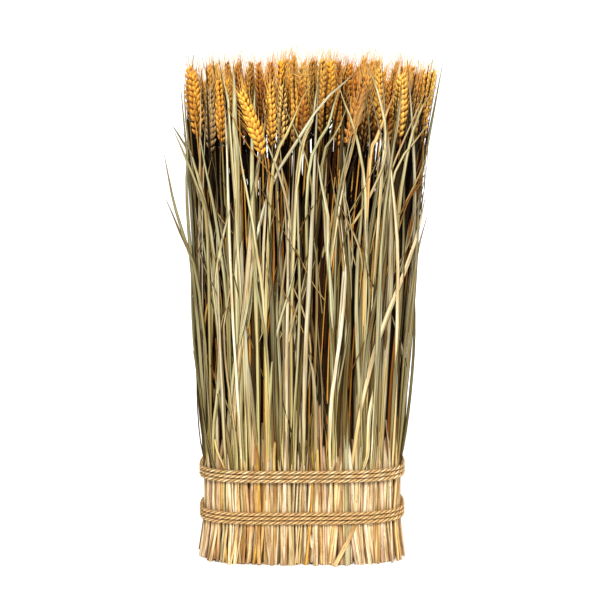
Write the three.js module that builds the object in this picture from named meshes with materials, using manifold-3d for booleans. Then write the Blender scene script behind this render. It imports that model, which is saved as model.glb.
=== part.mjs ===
import * as THREE from 'three';
import { mergeVertices } from 'three/addons/utils/BufferGeometryUtils.js';
import Module from 'manifold-3d';

// A bundle of dried wheat that stands on its cut ends, tied twice with a thin rope.
// Millimetres, +Z up, the front faces -Y. The origin is on the floor, under the middle.

// The bundle's section is a rounded oblong that opens towards the ears.
const waistHalfWidth = 116;
const waistHalfDepth = 48;
const squareness = 3.4;
const openingStart = 170;
const headHeight = 570;
const widthOpening = 0.26;
const depthOpening = 0.3;
const headSway = 10;
const splayHeight = 45;
const footSplay = 4;
const clearance = 0.6;
const simplifying = 0.03;

// Outer leaves stand in a ring of tufts, which grows thinner towards the top.
const ringDepth = 8;
const ringThinning = 0.6;
const frontTufts = 5;
const sideShare = 0.2;
const strawWidth = 8.5;
const grooveDepth = 1.3;
const innerStations = 64;
const ringLeafWidth = [4, 6.4];
const leafThickness = 1.2;
const layerRoots = [0.36, 0.76];
const layerDepths = [-0.08, 0.6];
const layerLean = 0.2;

// Wheat stands inside the ring, in tufts laid out in columns and rows.
const columnEdges = [-0.97, -0.77, -0.63, -0.36, -0.18, 0.03, 0.29, 0.525, 0.7, 0.97];
const rowEdges = [-1, -0.36, 0.36, 1];
const rowNames = ['front', 'middle', 'back'];
const blockTop = [138, 168];
const rootHeight = 118;
const topUnevenness = 9;
const cutUnevenness = 1.4;
const stemRadius = 1.5;
const earLength = 78;
const earWidth = 12;
const earSides = 6;
const stemSteps = 2;
const spikelets = 8;
const grainRise = 0.05;
const awnLength = 38;
const awnRadius = 0.6;

// Each tie is one cord, wound three times round the straws and knotted at the back.
const cordRadius = 2.35;
const cordPitch = 5;
const ropeTurns = 3;
const stationsPerTurn = 22;
const cornerEasing = 0.65;
const cordPlay = 0.9;
const upperTieHeight = 106;
const lowerTieHeight = 56;
// The knot at the back: x, distance outwards and height of the cord's ends from the tie's middle.
const knotStart = [
  [-17, 1.2, 30], [-13, 2.5, 21], [-5, 5.4, 11], [5, 5.6, 5], [13, 5.2, -1], [16, 3, -7], [9, 0.3, -8.6],
];
const knotEnd = [
  [-9, 0.3, 8.6], [-15, 3.4, 8], [-16.5, 8, 2], [-10, 10.6, -2],
  [2, 9.6, -6], [10, 6, -13], [14, 3, -22], [17, 1.5, -32],
];

// Ears that show at the front, by column: tip x and z, base x and z, depth share, width.
const frontEars = [
  [[-121, 572, -113, 492, -0.7, 13], [-102, 556, -101, 480, -0.8, 11]],
  [[-91, 564, -89, 490, -0.84, 12]],
  [[-67, 553, -49, 479, -0.88, 14]],
  [[-35, 561, -34, 488, -0.78, 11], [-22, 560, -23, 488, -0.86, 11]],
  [[-10, 567, -9, 495, -0.86, 11], [0, 560, 2, 486, -0.7, 11]],
  [[24, 574, 22, 500, -0.74, 11], [42, 559, 39, 488, -0.84, 12]],
  [[69, 567, 54, 490, -0.86, 14], [78, 551, 68, 478, -0.55, 11]],
  [[86, 577, 85, 505, -0.84, 11], [96, 564, 93, 490, -0.62, 11]],
  [
    [111, 571, 108, 500, -0.8, 13],
    [123, 561, 118, 486, -0.55, 11],
    [135, 569, 128, 495, -0.3, 12],
  ],
];

// Leaves that stand clear of the rest, by tuft: x and z of the points from the root up, lift, width.
const markedLeaves = {
  leaves_front_1: [
    { points: [[-66, 122], [-61, 250], [-56, 360], [-31, 454], [20, 535], [61, 574]], lift: 5, width: 7 },
    { points: [[-80, 122], [-88, 240], [-96, 356], [-88, 400], [-79, 432]], lift: 2.5, width: 6 },
  ],
  leaves_front_4: [
    { points: [[44, 122], [60, 260], [86, 400], [92, 500], [82, 556], [71, 582]], lift: 2.5, width: 6 },
  ],
  leaves_front_5: [
    { points: [[76, 122], [80, 300], [100, 440], [124, 505], [135, 533], [153, 558]], lift: 3, width: 7 },
  ],
};

// Leaves that hang out at the sides and the back: x, y and z of the points from the root up, and the width.
const outlyingLeaves = {
  leaves_left: [
    {
      points: [[-107, -29, 122], [-112, -34, 250], [-121, -40, 355], [-140, -44, 425], [-153, -42, 485]],
      width: 5,
    },
    {
      points: [[-112, -8, 122], [-117, -12, 240], [-123, -18, 350], [-142, -24, 408], [-152, -24, 432]],
      width: 4.5,
    },
    {
      points: [[-106, -30, 122], [-104, -46, 300], [-110, -57, 410], [-124, -65, 475], [-136, -70, 506]],
      width: 6,
    },
    {
      points: [[-112, 10, 122], [-118, 8, 300], [-127, 4, 440], [-140, 0, 492], [-149, -2, 510]],
      width: 4.5,
    },
  ],
  leaves_right: [
    {
      points: [[112, -12, 122], [120, -16, 260], [136, -20, 380], [148, -24, 430], [146, -26, 500]],
      width: 6,
    },
    {
      points: [[112, 12, 122], [121, 14, 260], [134, 18, 400], [150, 22, 500], [163, 26, 562]],
      width: 6,
    },
  ],
  leaves_back_2: [
    { points: [[36, 44, 122], [40, 50, 280], [44, 58, 420], [42, 67, 520], [35, 73, 574]], width: 6 },
  ],
  leaves_back_4: [
    { points: [[-34, 44, 122], [-38, 50, 280], [-36, 59, 430], [-40, 68, 530], [-52, 72, 580]], width: 5 },
  ],
};

const finishes = {
  wheat: new THREE.MeshStandardMaterial({ color: 0xd39a3c, roughness: 0.75, metalness: 0 }),
  leaf: new THREE.MeshStandardMaterial({ color: 0xa5a077, roughness: 0.8, metalness: 0 }),
  rope: new THREE.MeshStandardMaterial({ color: 0xa98a5c, roughness: 0.9, metalness: 0 }),
};

const wasm = await Module();
wasm.setup();

// A portable random sequence, so that every build gives the same bundle.
function seededRandom(seed) {
  let state = (seed * 2654435 + 12345) % 4294967296;
  const next = () => {
    state = (state * 1664525 + 1013904223) % 4294967296;
    return state / 4294967296;
  };
  for (let i = 0; i < 4; i += 1) next();
  return next;
}

function between(random, low, high) {
  return low + (high - low) * random();
}

function sectionAt(z) {
  const opening = Math.max(0, (z - openingStart) / (headHeight - openingStart)) ** 1.5;
  const splay = footSplay * Math.max(0, 1 - z / splayHeight);
  return {
    halfWidth: waistHalfWidth * (1 + widthOpening * opening) + splay,
    halfDepth: waistHalfDepth * (1 + depthOpening * opening) + splay,
    ring: ringDepth * (1 - ringThinning * Math.min(1, opening)),
    sway: headSway * opening,
  };
}

// The section's outline at the waist, from the middle of the back round by the left side.
class Outline extends THREE.Curve {
  getPoint(share, target = new THREE.Vector3()) {
    const angle = share * Math.PI * 2;
    const x = -Math.sin(angle);
    const y = Math.cos(angle);
    const reach = (Math.abs(x) ** squareness + Math.abs(y) ** squareness) ** (1 / squareness);
    return target.set((waistHalfWidth * x) / reach, (waistHalfDepth * y) / reach, 0);
  }
}

const outline = new Outline();
outline.arcLengthDivisions = 720;
const perimeter = outline.getLength();

// A place in the ring: a share of the way round, a share of the ring's depth, and a height.
function ringPoint(round, depthShare, z) {
  const section = sectionAt(z);
  const rim = outline.getPointAt(((round % 1) + 1) % 1);
  const inset = section.ring * depthShare;
  return new THREE.Vector3(
    (rim.x * (section.halfWidth - inset)) / waistHalfWidth + section.sway,
    (rim.y * (section.halfDepth - inset)) / waistHalfDepth,
    z,
  );
}

function acrossRing(round) {
  const step = 1 / perimeter;
  return ringPoint(round + step, 0, 0).sub(ringPoint(round - step, 0, 0)).normalize();
}

// A place among the wheat: shares from -1 to 1 of the width and of the depth, and a height.
function corePoint(u, v, z) {
  const section = sectionAt(z);
  const bulge = (1 - Math.abs(u) ** squareness) ** (1 / squareness);
  return new THREE.Vector3(
    (section.halfWidth - section.ring - clearance) * u + section.sway,
    (section.halfDepth - section.ring - clearance) * v * bulge,
    z,
  );
}

function coreShareAt(x, z) {
  const section = sectionAt(z);
  return (x - section.sway) / (section.halfWidth - section.ring - clearance);
}

function solidFrom(geometry) {
  geometry.deleteAttribute('normal');
  geometry.deleteAttribute('uv');
  const merged = mergeVertices(geometry, 1e-4);
  return new wasm.Manifold(new wasm.Mesh({
    numProp: 3,
    vertProperties: new Float32Array(merged.attributes.position.array),
    triVerts: new Uint32Array(merged.index.array),
  }));
}

// Across, along and outward directions at a point of a path, turned about the path by roll.
function frameAlong(direction, across, roll) {
  const outward = across.clone().cross(direction).normalize();
  const side = direction.clone().cross(outward);
  return {
    side: side.clone().multiplyScalar(Math.cos(roll)).addScaledVector(outward, Math.sin(roll)),
    outward: outward.clone().multiplyScalar(Math.cos(roll)).addScaledVector(side, -Math.sin(roll)),
  };
}

// A closed rod or blade: a pointed or blunt cylinder whose vertices are carried along a path.
function bent(sides, steps, pointed, path, across, roll, sizeAt) {
  const geometry = new THREE.CylinderGeometry(pointed ? 0 : 1, 1, 1, sides, steps);
  const position = geometry.attributes.position;
  const vertex = new THREE.Vector3();
  for (let i = 0; i < position.count; i += 1) {
    vertex.fromBufferAttribute(position, i);
    const along = vertex.y + 0.5;
    const reach = pointed ? Math.max(1 - along, 1e-6) : 1;
    const frame = frameAlong(path.getTangent(along), across(along), roll(along));
    const [wide, thick] = sizeAt(along);
    const place = path.getPoint(along);
    place.addScaledVector(frame.side, (vertex.x / reach) * wide);
    place.addScaledVector(frame.outward, (vertex.z / reach) * thick);
    position.setXYZ(i, place.x, place.y, place.z);
  }
  return solidFrom(geometry);
}

// A blade with a keel on its outer face, narrow at the root and pointed at the tip.
function blade(points, across, width, roll, steps) {
  const path = new THREE.CatmullRomCurve3(points, false, 'catmullrom', 0.5);
  const sizeAt = (along) => {
    const fullness = Math.min(1, 0.62 + along * 1.5) * (1 - along ** 3);
    const slimming = 0.75 + 0.25 * (1 - along);
    return [(width / Math.sqrt(3)) * fullness, (leafThickness / 1.5) * slimming];
  };
  return bent(3, steps, true, path, () => across, (along) => roll * along, sizeAt);
}

// A stalk of wheat in one closed form: its stem, its ear and the awn at its tip. The ear's spikelets
// swell out on either side by turns, each leaning up and outwards.
function stalk(stemPoints, tip, facing, width, random) {
  const way = new THREE.CatmullRomCurve3(stemPoints, false, 'catmullrom', 0.5);
  const base = stemPoints[stemPoints.length - 1];
  const length = tip.distanceTo(base);
  const axis = tip.clone().sub(base).normalize();
  const frame = frameAlong(axis, new THREE.Vector3(Math.cos(facing), Math.sin(facing), 0), 0);
  const rings = stemSteps + spikelets + 1;
  const reachUp = length + awnLength * between(random, 0.6, 0.8);
  const geometry = new THREE.CylinderGeometry(0, 1, 1, earSides, rings);
  const position = geometry.attributes.position;
  const vertex = new THREE.Vector3();
  for (let i = 0; i < position.count; i += 1) {
    vertex.fromBufferAttribute(position, i);
    const ring = Math.round((vertex.y + 0.5) * rings);
    const reach = Math.max(1 - ring / rings, 1e-6);
    const [x, z] = [vertex.x / reach, vertex.z / reach];
    const turn = ring - stemSteps;
    const place = turn <= 0 ? way.getPoint(ring / stemSteps) : base.clone();
    let [wide, thick] = [x * stemRadius, z * stemRadius];
    if (turn > 0 && ring < rings) {
      const middle = Math.abs(x) < 0.5;
      const grain = !middle && turn < spikelets && (turn % 2 === 0) === x > 0;
      const swell = turn === spikelets ? 0.3 : 0.8 + 0.2 * Math.sin((Math.PI * turn) / spikelets);
      wide = middle ? 0 : x * width * 0.58 * swell * (grain ? 1 : 0.55);
      thick = z * width * 0.42 * swell * (middle ? 0.86 : 1.1);
      place.addScaledVector(axis, length * ((turn - 0.5) / (spikelets - 0.5) + (grain ? grainRise : 0)));
    }
    if (ring === rings) place.addScaledVector(axis, reachUp);
    place.addScaledVector(frame.side, wide).addScaledVector(frame.outward, thick);
    position.setXYZ(i, place.x, place.y, place.z);
  }
  return solidFrom(geometry);
}

// A loose awn that leaves the ear between its upper spikelets.
function awn(base, tip, lean, random) {
  const root = base.clone().lerp(tip, 0.62);
  const end = tip.clone().add(new THREE.Vector3(lean, between(random, -6, 6), awnLength));
  const across = new THREE.Vector3(1, 0, 0);
  const line = new THREE.LineCurve3(root, end);
  return bent(3, 1, true, line, () => across, () => 0, () => [awnRadius, awnRadius]);
}

// Straws cut level at the floor and ragged at the top, as one block with this outline at the waist.
function strawBlock(points, top) {
  const shape = new THREE.Shape(points.map((point) => new THREE.Vector2(point.x, point.y)));
  const geometry = new THREE.ExtrudeGeometry(shape, { depth: 2, steps: 2, bevelEnabled: false });
  const position = geometry.attributes.position;
  for (let i = 0; i < position.count; i += 1) {
    const x = position.getX(i);
    const y = position.getY(i);
    const level = Math.round(position.getZ(i));
    const wave = Math.sin(x * 0.83 + 1) * Math.cos(y * 1.1 + x * 0.37);
    const edge = (Math.abs(x) / waistHalfWidth) ** squareness + (Math.abs(y) / waistHalfDepth) ** squareness;
    const cutEnd = edge > 0.9 ? cutUnevenness * (1 + wave) : 0;
    const height = [cutEnd, splayHeight, top + topUnevenness * wave][level];
    const section = sectionAt(Math.min(height, openingStart));
    const wide = level === 0 ? waistHalfWidth + footSplay : section.halfWidth;
    const deep = level === 0 ? waistHalfDepth + footSplay : section.halfDepth;
    position.setXYZ(i, (x * wide) / waistHalfWidth, (y * deep) / waistHalfDepth, height);
  }
  return solidFrom(geometry);
}

// The ring's outline between two places: fluted by straws outside, plain inside.
function ringOutline(from, to, random) {
  const points = [];
  const straws = Math.round(((to - from) * perimeter) / strawWidth);
  const cuts = [from];
  for (let i = 1; i < straws; i += 1) {
    cuts.push(from + ((to - from) * (i + between(random, -0.22, 0.22))) / straws);
  }
  cuts.push(to);
  for (let i = 0; i < straws; i += 1) {
    const span = cuts[i + 1] - cuts[i];
    const sunk = between(random, 0, 0.09);
    points.push(ringPoint(cuts[i], grooveDepth / ringDepth, rootHeight));
    points.push(ringPoint(cuts[i] + span * 0.27, sunk, rootHeight));
    points.push(ringPoint(cuts[i] + span * 0.73, sunk, rootHeight));
  }
  points.push(ringPoint(to, grooveDepth / ringDepth, rootHeight));
  const inner = Math.max(3, Math.round((to - from) * innerStations));
  for (let i = 0; i <= inner; i += 1) {
    points.push(ringPoint(to + ((from - to) * i) / inner, 1, rootHeight));
  }
  return points;
}

// One leaf of a tuft's ring. Leaves stand in two layers that lean opposite ways, each in its order.
function ringLeaf(from, to, index, count, lean, random) {
  const layer = index % 2;
  const slots = Math.ceil(count / 2);
  const width = between(random, ...ringLeafWidth);
  const margin = (ringLeafWidth[1] * 0.6 + clearance) / perimeter;
  const room = to - from - 2 * margin;
  const slot = (Math.floor(index / 2) + between(random, 0.4, 0.6)) / slots;
  const squeeze = 1 - layerLean;
  const low = from + margin + room * (slot * squeeze + (layer === 0 ? 0 : layerLean));
  const high = low + room * layerLean * (layer === 0 ? 1 : -1) * lean;
  const tipHeight = random() < 0.7 ? between(random, 455, 588) : between(random, 260, 430);
  const points = [0, 0.25, 0.55, 0.8, 1].map((share) => {
    const round = low + (high - low) * share + (between(random, -0.08, 0.08) * room) / slots;
    const depth = share === 0 ? layerRoots[layer] : layerDepths[layer];
    return ringPoint(round, depth, rootHeight + (tipHeight - rootHeight) * share);
  });
  return blade(points, acrossRing((low + high) / 2), width, between(random, -0.12, 0.12), 4);
}

function markedLeaf({ points, lift, width }) {
  const raised = points.map(([x, z], index) => {
    const section = sectionAt(z);
    const share = (x - section.sway) / section.halfWidth;
    const flank = section.halfDepth * (1 - Math.min(1, Math.abs(share)) ** squareness) ** (1 / squareness);
    return new THREE.Vector3(x, index === 0 ? -flank + ringDepth / 2 : -flank - lift, z);
  });
  return blade(raised, new THREE.Vector3(1, 0, 0), width, 0.2, 6);
}

function outlyingLeaf({ points, width }) {
  const path = points.map(([x, y, z]) => new THREE.Vector3(x, y, z));
  const outwards = new THREE.Vector3(-points[0][1], points[0][0], 0).normalize();
  return blade(path, outwards, width, -0.6, 4);
}

function leafTuft(name, from, to, leaves, seed) {
  const random = seededRandom(seed);
  const gap = clearance / 2 / perimeter;
  const start = from + gap;
  const end = to - gap;
  const parts = [strawBlock(ringOutline(start, end, random), between(random, ...blockTop))];
  const lean = between(random, 0.3, 1);
  for (let i = 0; i < leaves; i += 1) parts.push(ringLeaf(start, end, i, leaves, lean, random));
  for (const leaf of markedLeaves[name] ?? []) parts.push(markedLeaf(leaf));
  for (const leaf of outlyingLeaves[name] ?? []) parts.push(outlyingLeaf(leaf));
  return joinedMesh(name, parts, finishes.leaf);
}

// The outline at the waist of one tuft of wheat, a little inside its column and row.
function coreOutline(column, row) {
  const section = sectionAt(rootHeight);
  const inU = clearance / 2 / section.halfWidth;
  const inV = clearance / 2 / section.halfDepth;
  const [left, right] = [columnEdges[column] + inU, columnEdges[column + 1] - inU];
  const [front, back] = [rowEdges[row] + inV, rowEdges[row + 1] - inV];
  const middle = (left + right) / 2;
  return [[left, front], [middle, front], [right, front], [right, back], [middle, back], [left, back]]
    .map(([u, v]) => corePoint(u, v, rootHeight));
}

// Ears of the rows that the front hides: one a tuft, or two at the back where its column is wide.
function hiddenEars(column, row, random) {
  const [left, right] = [columnEdges[column], columnEdges[column + 1]];
  const count = right - left > (row === 2 ? 0.19 : 0.25) ? 2 : 1;
  const ears = [];
  for (let i = 0; i < count; i += 1) {
    const tipHeight = between(random, 562, 584);
    const u = left + ((right - left) * (i + 0.5)) / count;
    const v = rowEdges[row] + (rowEdges[row + 1] - rowEdges[row]) * between(random, 0.3, 0.7);
    const top = corePoint(u + between(random, -0.01, 0.01), v, tipHeight);
    const low = corePoint(u, v, tipHeight - earLength * between(random, 0.9, 1));
    ears.push([top.x, top.z, low.x, low.z, v, earWidth]);
  }
  return ears;
}

function wheatTuft(column, row, seed) {
  const random = seededRandom(seed);
  const name = `wheat_${rowNames[row]}_${column + 1}`;
  const ears = row === 0 ? frontEars[column] : hiddenEars(column, row, random);
  const parts = [strawBlock(coreOutline(column, row), between(random, ...blockTop))];
  ears.forEach(([tipX, tipZ, baseX, baseZ, v, width], index) => {
    const tip = corePoint(coreShareAt(tipX, tipZ), v, tipZ);
    const base = corePoint(coreShareAt(baseX, baseZ), v, baseZ);
    const [left, right] = [columnEdges[column], columnEdges[column + 1]];
    const root = left + ((right - left) * (index + 0.5)) / ears.length;
    const rootRow = (rowEdges[row] + rowEdges[row + 1]) / 2;
    const way = [0, 0.5].map((share) => {
      const z = rootHeight + (base.z - rootHeight) * share;
      const u = root + (coreShareAt(base.x, base.z) - root) * share;
      return corePoint(u, rootRow + (v - rootRow) * share, z);
    });
    parts.push(stalk([...way, base], tip, between(random, -0.5, 0.5), width, random));
    if (row === 0 && index === 0) parts.push(awn(base, tip, between(random, -12, 12), random));
  });
  if (row !== 1) parts.push(coreLeaf(column, row, random));
  return joinedMesh(name, parts, finishes.wheat);
}

function coreLeaf(column, row, random) {
  const width = between(random, 4, 6);
  const margin = (width * 0.55 + clearance) / waistHalfWidth;
  const place = () => between(random, columnEdges[column] + margin, columnEdges[column + 1] - margin);
  const depth = () => between(random, rowEdges[row] + 0.2, rowEdges[row + 1] - 0.2);
  const [low, high, v] = [place(), place(), depth()];
  const tipHeight = between(random, 500, 590);
  const points = [0, 0.35, 0.7, 1].map((share) => corePoint(
    low + (high - low) * share,
    v,
    rootHeight + (tipHeight - rootHeight) * share,
  ));
  return blade(points, new THREE.Vector3(1, 0, 0), width, between(random, -0.3, 0.3), 4);
}

// The cord's centre line: half a cord and a little play off the straws.
function cordPoint(turns, height) {
  const angle = turns * Math.PI * 2;
  const x = -Math.sign(Math.sin(angle)) * Math.abs(Math.sin(angle)) ** cornerEasing;
  const y = Math.sign(Math.cos(angle)) * Math.abs(Math.cos(angle)) ** cornerEasing;
  const reach = (Math.abs(x) ** squareness + Math.abs(y) ** squareness) ** (1 / squareness);
  const off = cordRadius + cordPlay;
  const rise = (turns - ropeTurns / 2) * cordPitch;
  return new THREE.Vector3(
    ((waistHalfWidth + off) * x) / reach,
    ((waistHalfDepth + off) * y) / reach,
    height + rise,
  );
}

// One cord: a short tail, its turns, and the other tail, which hooks over the first at the back.
function ropeTie(name, height) {
  const back = waistHalfDepth + cordRadius + cordPlay;
  const behind = ([x, off, z]) => new THREE.Vector3(x, back + off, height + z);
  const points = knotStart.map(behind);
  const stations = ropeTurns * stationsPerTurn;
  for (let i = 0; i <= stations; i += 1) points.push(cordPoint(i / stationsPerTurn, height));
  points.push(...knotEnd.map(behind));
  const path = new THREE.CatmullRomCurve3(points, false, 'catmullrom', 0.5);
  const outwards = (share) => {
    const place = path.getPoint(share);
    return new THREE.Vector3(place.x / waistHalfWidth, place.y / waistHalfDepth, 0).normalize();
  };
  const cord = bent(5, points.length - 1, false, path, outwards, () => 0, () => [cordRadius, cordRadius]);
  return joinedMesh(name, [cord], finishes.rope);
}

// Every solid of one tuft or tie is joined into one body.
function joinedMesh(name, parts, material) {
  const joined = wasm.Manifold.union(parts).simplify(simplifying);
  const mesh = joined.getMesh();
  const geometry = new THREE.BufferGeometry();
  geometry.setAttribute('position', new THREE.BufferAttribute(new Float32Array(mesh.vertProperties), 3));
  geometry.setIndex(new THREE.BufferAttribute(new Uint32Array(mesh.triVerts), 1));
  geometry.computeVertexNormals();
  const made = new THREE.Mesh(geometry, material);
  made.name = name;
  return made;
}

function leafRing() {
  const ring = new THREE.Group();
  const frontShare = 0.5 - sideShare;
  const tuft = frontShare / frontTufts;
  for (let i = 0; i < frontTufts; i += 1) {
    const from = 0.5 - frontShare / 2 + i * tuft;
    ring.add(leafTuft(`leaves_front_${i + 1}`, from, from + tuft, 8, 11 + i));
    ring.add(leafTuft(`leaves_back_${i + 1}`, from + 0.5, from + 0.5 + tuft, 8, 31 + i));
  }
  ring.add(leafTuft('leaves_left', 0.25 - sideShare / 2, 0.25 + sideShare / 2, 16, 51));
  ring.add(leafTuft('leaves_right', 0.75 - sideShare / 2, 0.75 + sideShare / 2, 16, 52));
  return ring;
}

function wheatCore() {
  const core = new THREE.Group();
  for (let row = 0; row < rowNames.length; row += 1) {
    for (let column = 0; column < columnEdges.length - 1; column += 1) {
      core.add(wheatTuft(column, row, 101 + row * 20 + column));
    }
  }
  return core;
}

const bundle = new THREE.Group();
bundle.add(leafRing());
bundle.add(wheatCore());
bundle.add(ropeTie('rope_upper', upperTieHeight));
bundle.add(ropeTie('rope_lower', lowerTieHeight));

export default bundle;
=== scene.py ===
import math
import random

import bpy
import bmesh
import numpy as np
from mathutils import Matrix, Vector


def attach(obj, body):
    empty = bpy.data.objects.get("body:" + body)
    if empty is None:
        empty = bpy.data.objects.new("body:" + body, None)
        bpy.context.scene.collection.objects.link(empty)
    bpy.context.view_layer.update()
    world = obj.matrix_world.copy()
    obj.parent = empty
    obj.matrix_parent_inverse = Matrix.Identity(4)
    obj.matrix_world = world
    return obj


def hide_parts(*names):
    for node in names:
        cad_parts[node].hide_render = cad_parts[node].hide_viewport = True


# A bundle of dried wheat, tied twice with a thin rope. Layout in millimetres, meshes in metres.
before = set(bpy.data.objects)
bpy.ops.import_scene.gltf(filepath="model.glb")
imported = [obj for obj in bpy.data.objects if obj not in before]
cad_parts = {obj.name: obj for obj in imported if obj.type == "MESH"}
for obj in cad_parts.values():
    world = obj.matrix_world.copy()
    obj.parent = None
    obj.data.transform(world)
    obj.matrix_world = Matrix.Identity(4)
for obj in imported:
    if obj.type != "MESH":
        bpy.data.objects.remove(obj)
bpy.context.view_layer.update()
mm = 0.001

view = {
    "place": (-2.3, -2000, 650),
    "aim": (-2.3, 0, 305),
    "widthAtAim": 700,  # what the picture takes in at the aim, in millimetres
    "sensor": 36,
    "clipEnd": 30000,  # in metres, beyond the floor's far edge
}


def makeCamera():
    place, aim = Vector(view["place"]), Vector(view["aim"])
    data = bpy.data.cameras.new("camera")
    data.sensor_width = view["sensor"]
    data.lens = view["sensor"] * (aim - place).length / view["widthAtAim"]
    data.clip_end = view["clipEnd"]
    camera = bpy.data.objects.new("camera", data)
    camera.location = place * mm
    camera.rotation_euler = (aim - place).to_track_quat("-Z", "Y").to_euler()
    bpy.context.collection.objects.link(camera)
    bpy.context.scene.camera = camera


makeCamera()
print("camera set")

# The bundle's layout is the same as in the model.
bundle = {
    "halfWidth": 116,
    "halfDepth": 48,
    "squareness": 3.4,
    "openingStart": 170,
    "headHeight": 570,
    "widthOpening": 0.26,
    "depthOpening": 0.3,
    "sway": 10,
    "splayHeight": 45,
    "footSplay": 5.5,
    "ring": 8,  # how deep the rim of straws and leaves reaches
    "ringThinning": 0.6,
    "upperTie": 106,
    "lowerTie": 56,
    "bound": 112,  # where the inner stems and leaves begin, hidden by the upper tie
}


def sectionAt(z):
    b = bundle
    opening = max(0, (z - b["openingStart"]) / (b["headHeight"] - b["openingStart"])) ** 1.5
    splay = b["footSplay"] * max(0, 1 - z / b["splayHeight"])
    halfWidth = b["halfWidth"] * (1 + b["widthOpening"] * opening) + splay
    halfDepth = b["halfDepth"] * (1 + b["depthOpening"] * opening) + splay
    ring = b["ring"] * (1 - b["ringThinning"] * min(1, opening))
    return halfWidth, halfDepth, ring, b["sway"] * opening


def outlineReach(x, y):
    # How far out a direction lies, where 1 is on the rounded rectangle.
    power = bundle["squareness"]
    return (np.abs(x) ** power + np.abs(y) ** power) ** (1 / power)


def outlineDepth(share):
    # The rounded rectangle's depth at a share of its half width, both from 0 to 1.
    power = bundle["squareness"]
    return (1 - share ** power) ** (1 / power)


def outlineTable():
    angle = np.linspace(0, 2 * math.pi, 721)
    x, y = -np.sin(angle), np.cos(angle)
    reach = outlineReach(x, y)
    x, y = bundle["halfWidth"] * x / reach, bundle["halfDepth"] * y / reach
    arc = np.concatenate([[0], np.cumsum(np.hypot(np.diff(x), np.diff(y)))])
    return x, y, arc


outlineX, outlineY, outlineArc = outlineTable()
perimeter = outlineArc[-1]


def rimAt(share):
    spot = (share % 1) * perimeter
    return np.interp(spot, outlineArc, outlineX), np.interp(spot, outlineArc, outlineY)


def ringPoint(share, depth, z):
    # In the ring of straws and leaves: depth 0 is its outer edge and 1 its inner one.
    halfWidth, halfDepth, ring, sway = sectionAt(z)
    x, y = rimAt(share)
    wide = (halfWidth - ring * depth) / bundle["halfWidth"]
    deep = (halfDepth - ring * depth) / bundle["halfDepth"]
    return np.array([x * wide + sway, y * deep, z])


def acrossRing(share):
    step = ringPoint(share + 0.004, 0, 0) - ringPoint(share - 0.004, 0, 0)
    return step / np.linalg.norm(step)


def corePoint(u, v, z):
    # Inside the ring: u and v are shares of its half width and half depth.
    halfWidth, halfDepth, ring, sway = sectionAt(z)
    depth = (halfDepth - ring) * v * outlineDepth(min(1, abs(u)))
    return np.array([(halfWidth - ring) * u + sway, depth, z])


def coreShare(x, z):
    halfWidth, _, ring, sway = sectionAt(z)
    return (x - sway) / (halfWidth - ring)


def frontPoint(x, z, lift):
    halfWidth, halfDepth, _, sway = sectionAt(z)
    share = min(0.995, abs((x - sway) / halfWidth))
    return np.array([x, -halfDepth * outlineDepth(share) - lift, z])


def alongPath(points, shares):
    # Places and directions on a smooth path through the points. Past its ends it runs straight.
    points = np.asarray(points, float)
    spans = len(points) - 1
    spot = np.clip(shares * spans, 0, spans - 1e-6)
    index = spot.astype(int)
    w = (spot - index)[:, None]
    more = np.vstack([2 * points[0] - points[1], points, 2 * points[-1] - points[-2]])
    before, start, end, after = (more[index + step] for step in range(4))
    inward, outward = (end - before) / 2, (after - start) / 2
    place = (2 * w ** 3 - 3 * w ** 2 + 1) * start + (w ** 3 - 2 * w ** 2 + w) * inward
    place = place + (3 * w ** 2 - 2 * w ** 3) * end + (w ** 3 - w ** 2) * outward
    slope = (6 * w ** 2 - 6 * w) * start + (3 * w ** 2 - 4 * w + 1) * inward
    slope = slope + (6 * w - 6 * w ** 2) * end + (3 * w ** 2 - 2 * w) * outward
    place = place + slope * (shares * spans - spot)[:, None]
    return place, slope / np.linalg.norm(slope, axis=1)[:, None]


def pathLength(points):
    return float(np.sum(np.linalg.norm(np.diff(np.asarray(points, float), axis=0), axis=1)))


class Template:
    # A small mesh along +Y from 0 to 1, kept as arrays so that copies can be bent. In the baking
    # map, area weighs its cell against others, and ratio is the cell's height over its width.
    def __init__(self, mesh, area, ratio):
        self.mesh = mesh
        self.area = area
        self.ratio = ratio
        self.coords = readArray(mesh.vertices, "co", 3)
        self.cell = readArray(mesh.uv_layers["OFBake"].uv, "vector", 2)
        self.strand = readArray(mesh.uv_layers["strand"].uv, "vector", 2)
        tint = mesh.color_attributes.get("tint")
        self.tint = readArray(tint.data, "color", 4) if tint else None

    def lay(self, points, across, wide, thick, roll=(0, 0), fold=0):
        # wide and thick are numbers or functions of the share along the path.
        x, along, z = self.coords.T
        place, direction = alongPath(points, along)
        out = np.cross(across, direction)
        out = out / np.linalg.norm(out, axis=1)[:, None]
        side = np.cross(direction, out)
        turn = (roll[0] + (roll[1] - roll[0]) * np.clip(along, 0, 1))[:, None]
        cos, sin = np.cos(turn), np.sin(turn)
        side, out = side * cos + out * sin, out * cos - side * sin
        halfWide = wide(along) if callable(wide) else wide
        halfThick = thick(along) if callable(thick) else thick
        lift = z * halfThick + fold * (1 - np.abs(x)) * halfWide
        return place + side * (x * halfWide)[:, None] + out * lift[:, None]


def readArray(items, name, size):
    values = np.empty(len(items) * size, np.float32)
    items.foreach_get(name, values)
    return values.reshape(-1, size).astype(float)


def writeArray(items, name, parts, scale=1):
    items.foreach_set(name, (np.vstack(parts) * scale).astype(np.float32).ravel())


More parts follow.
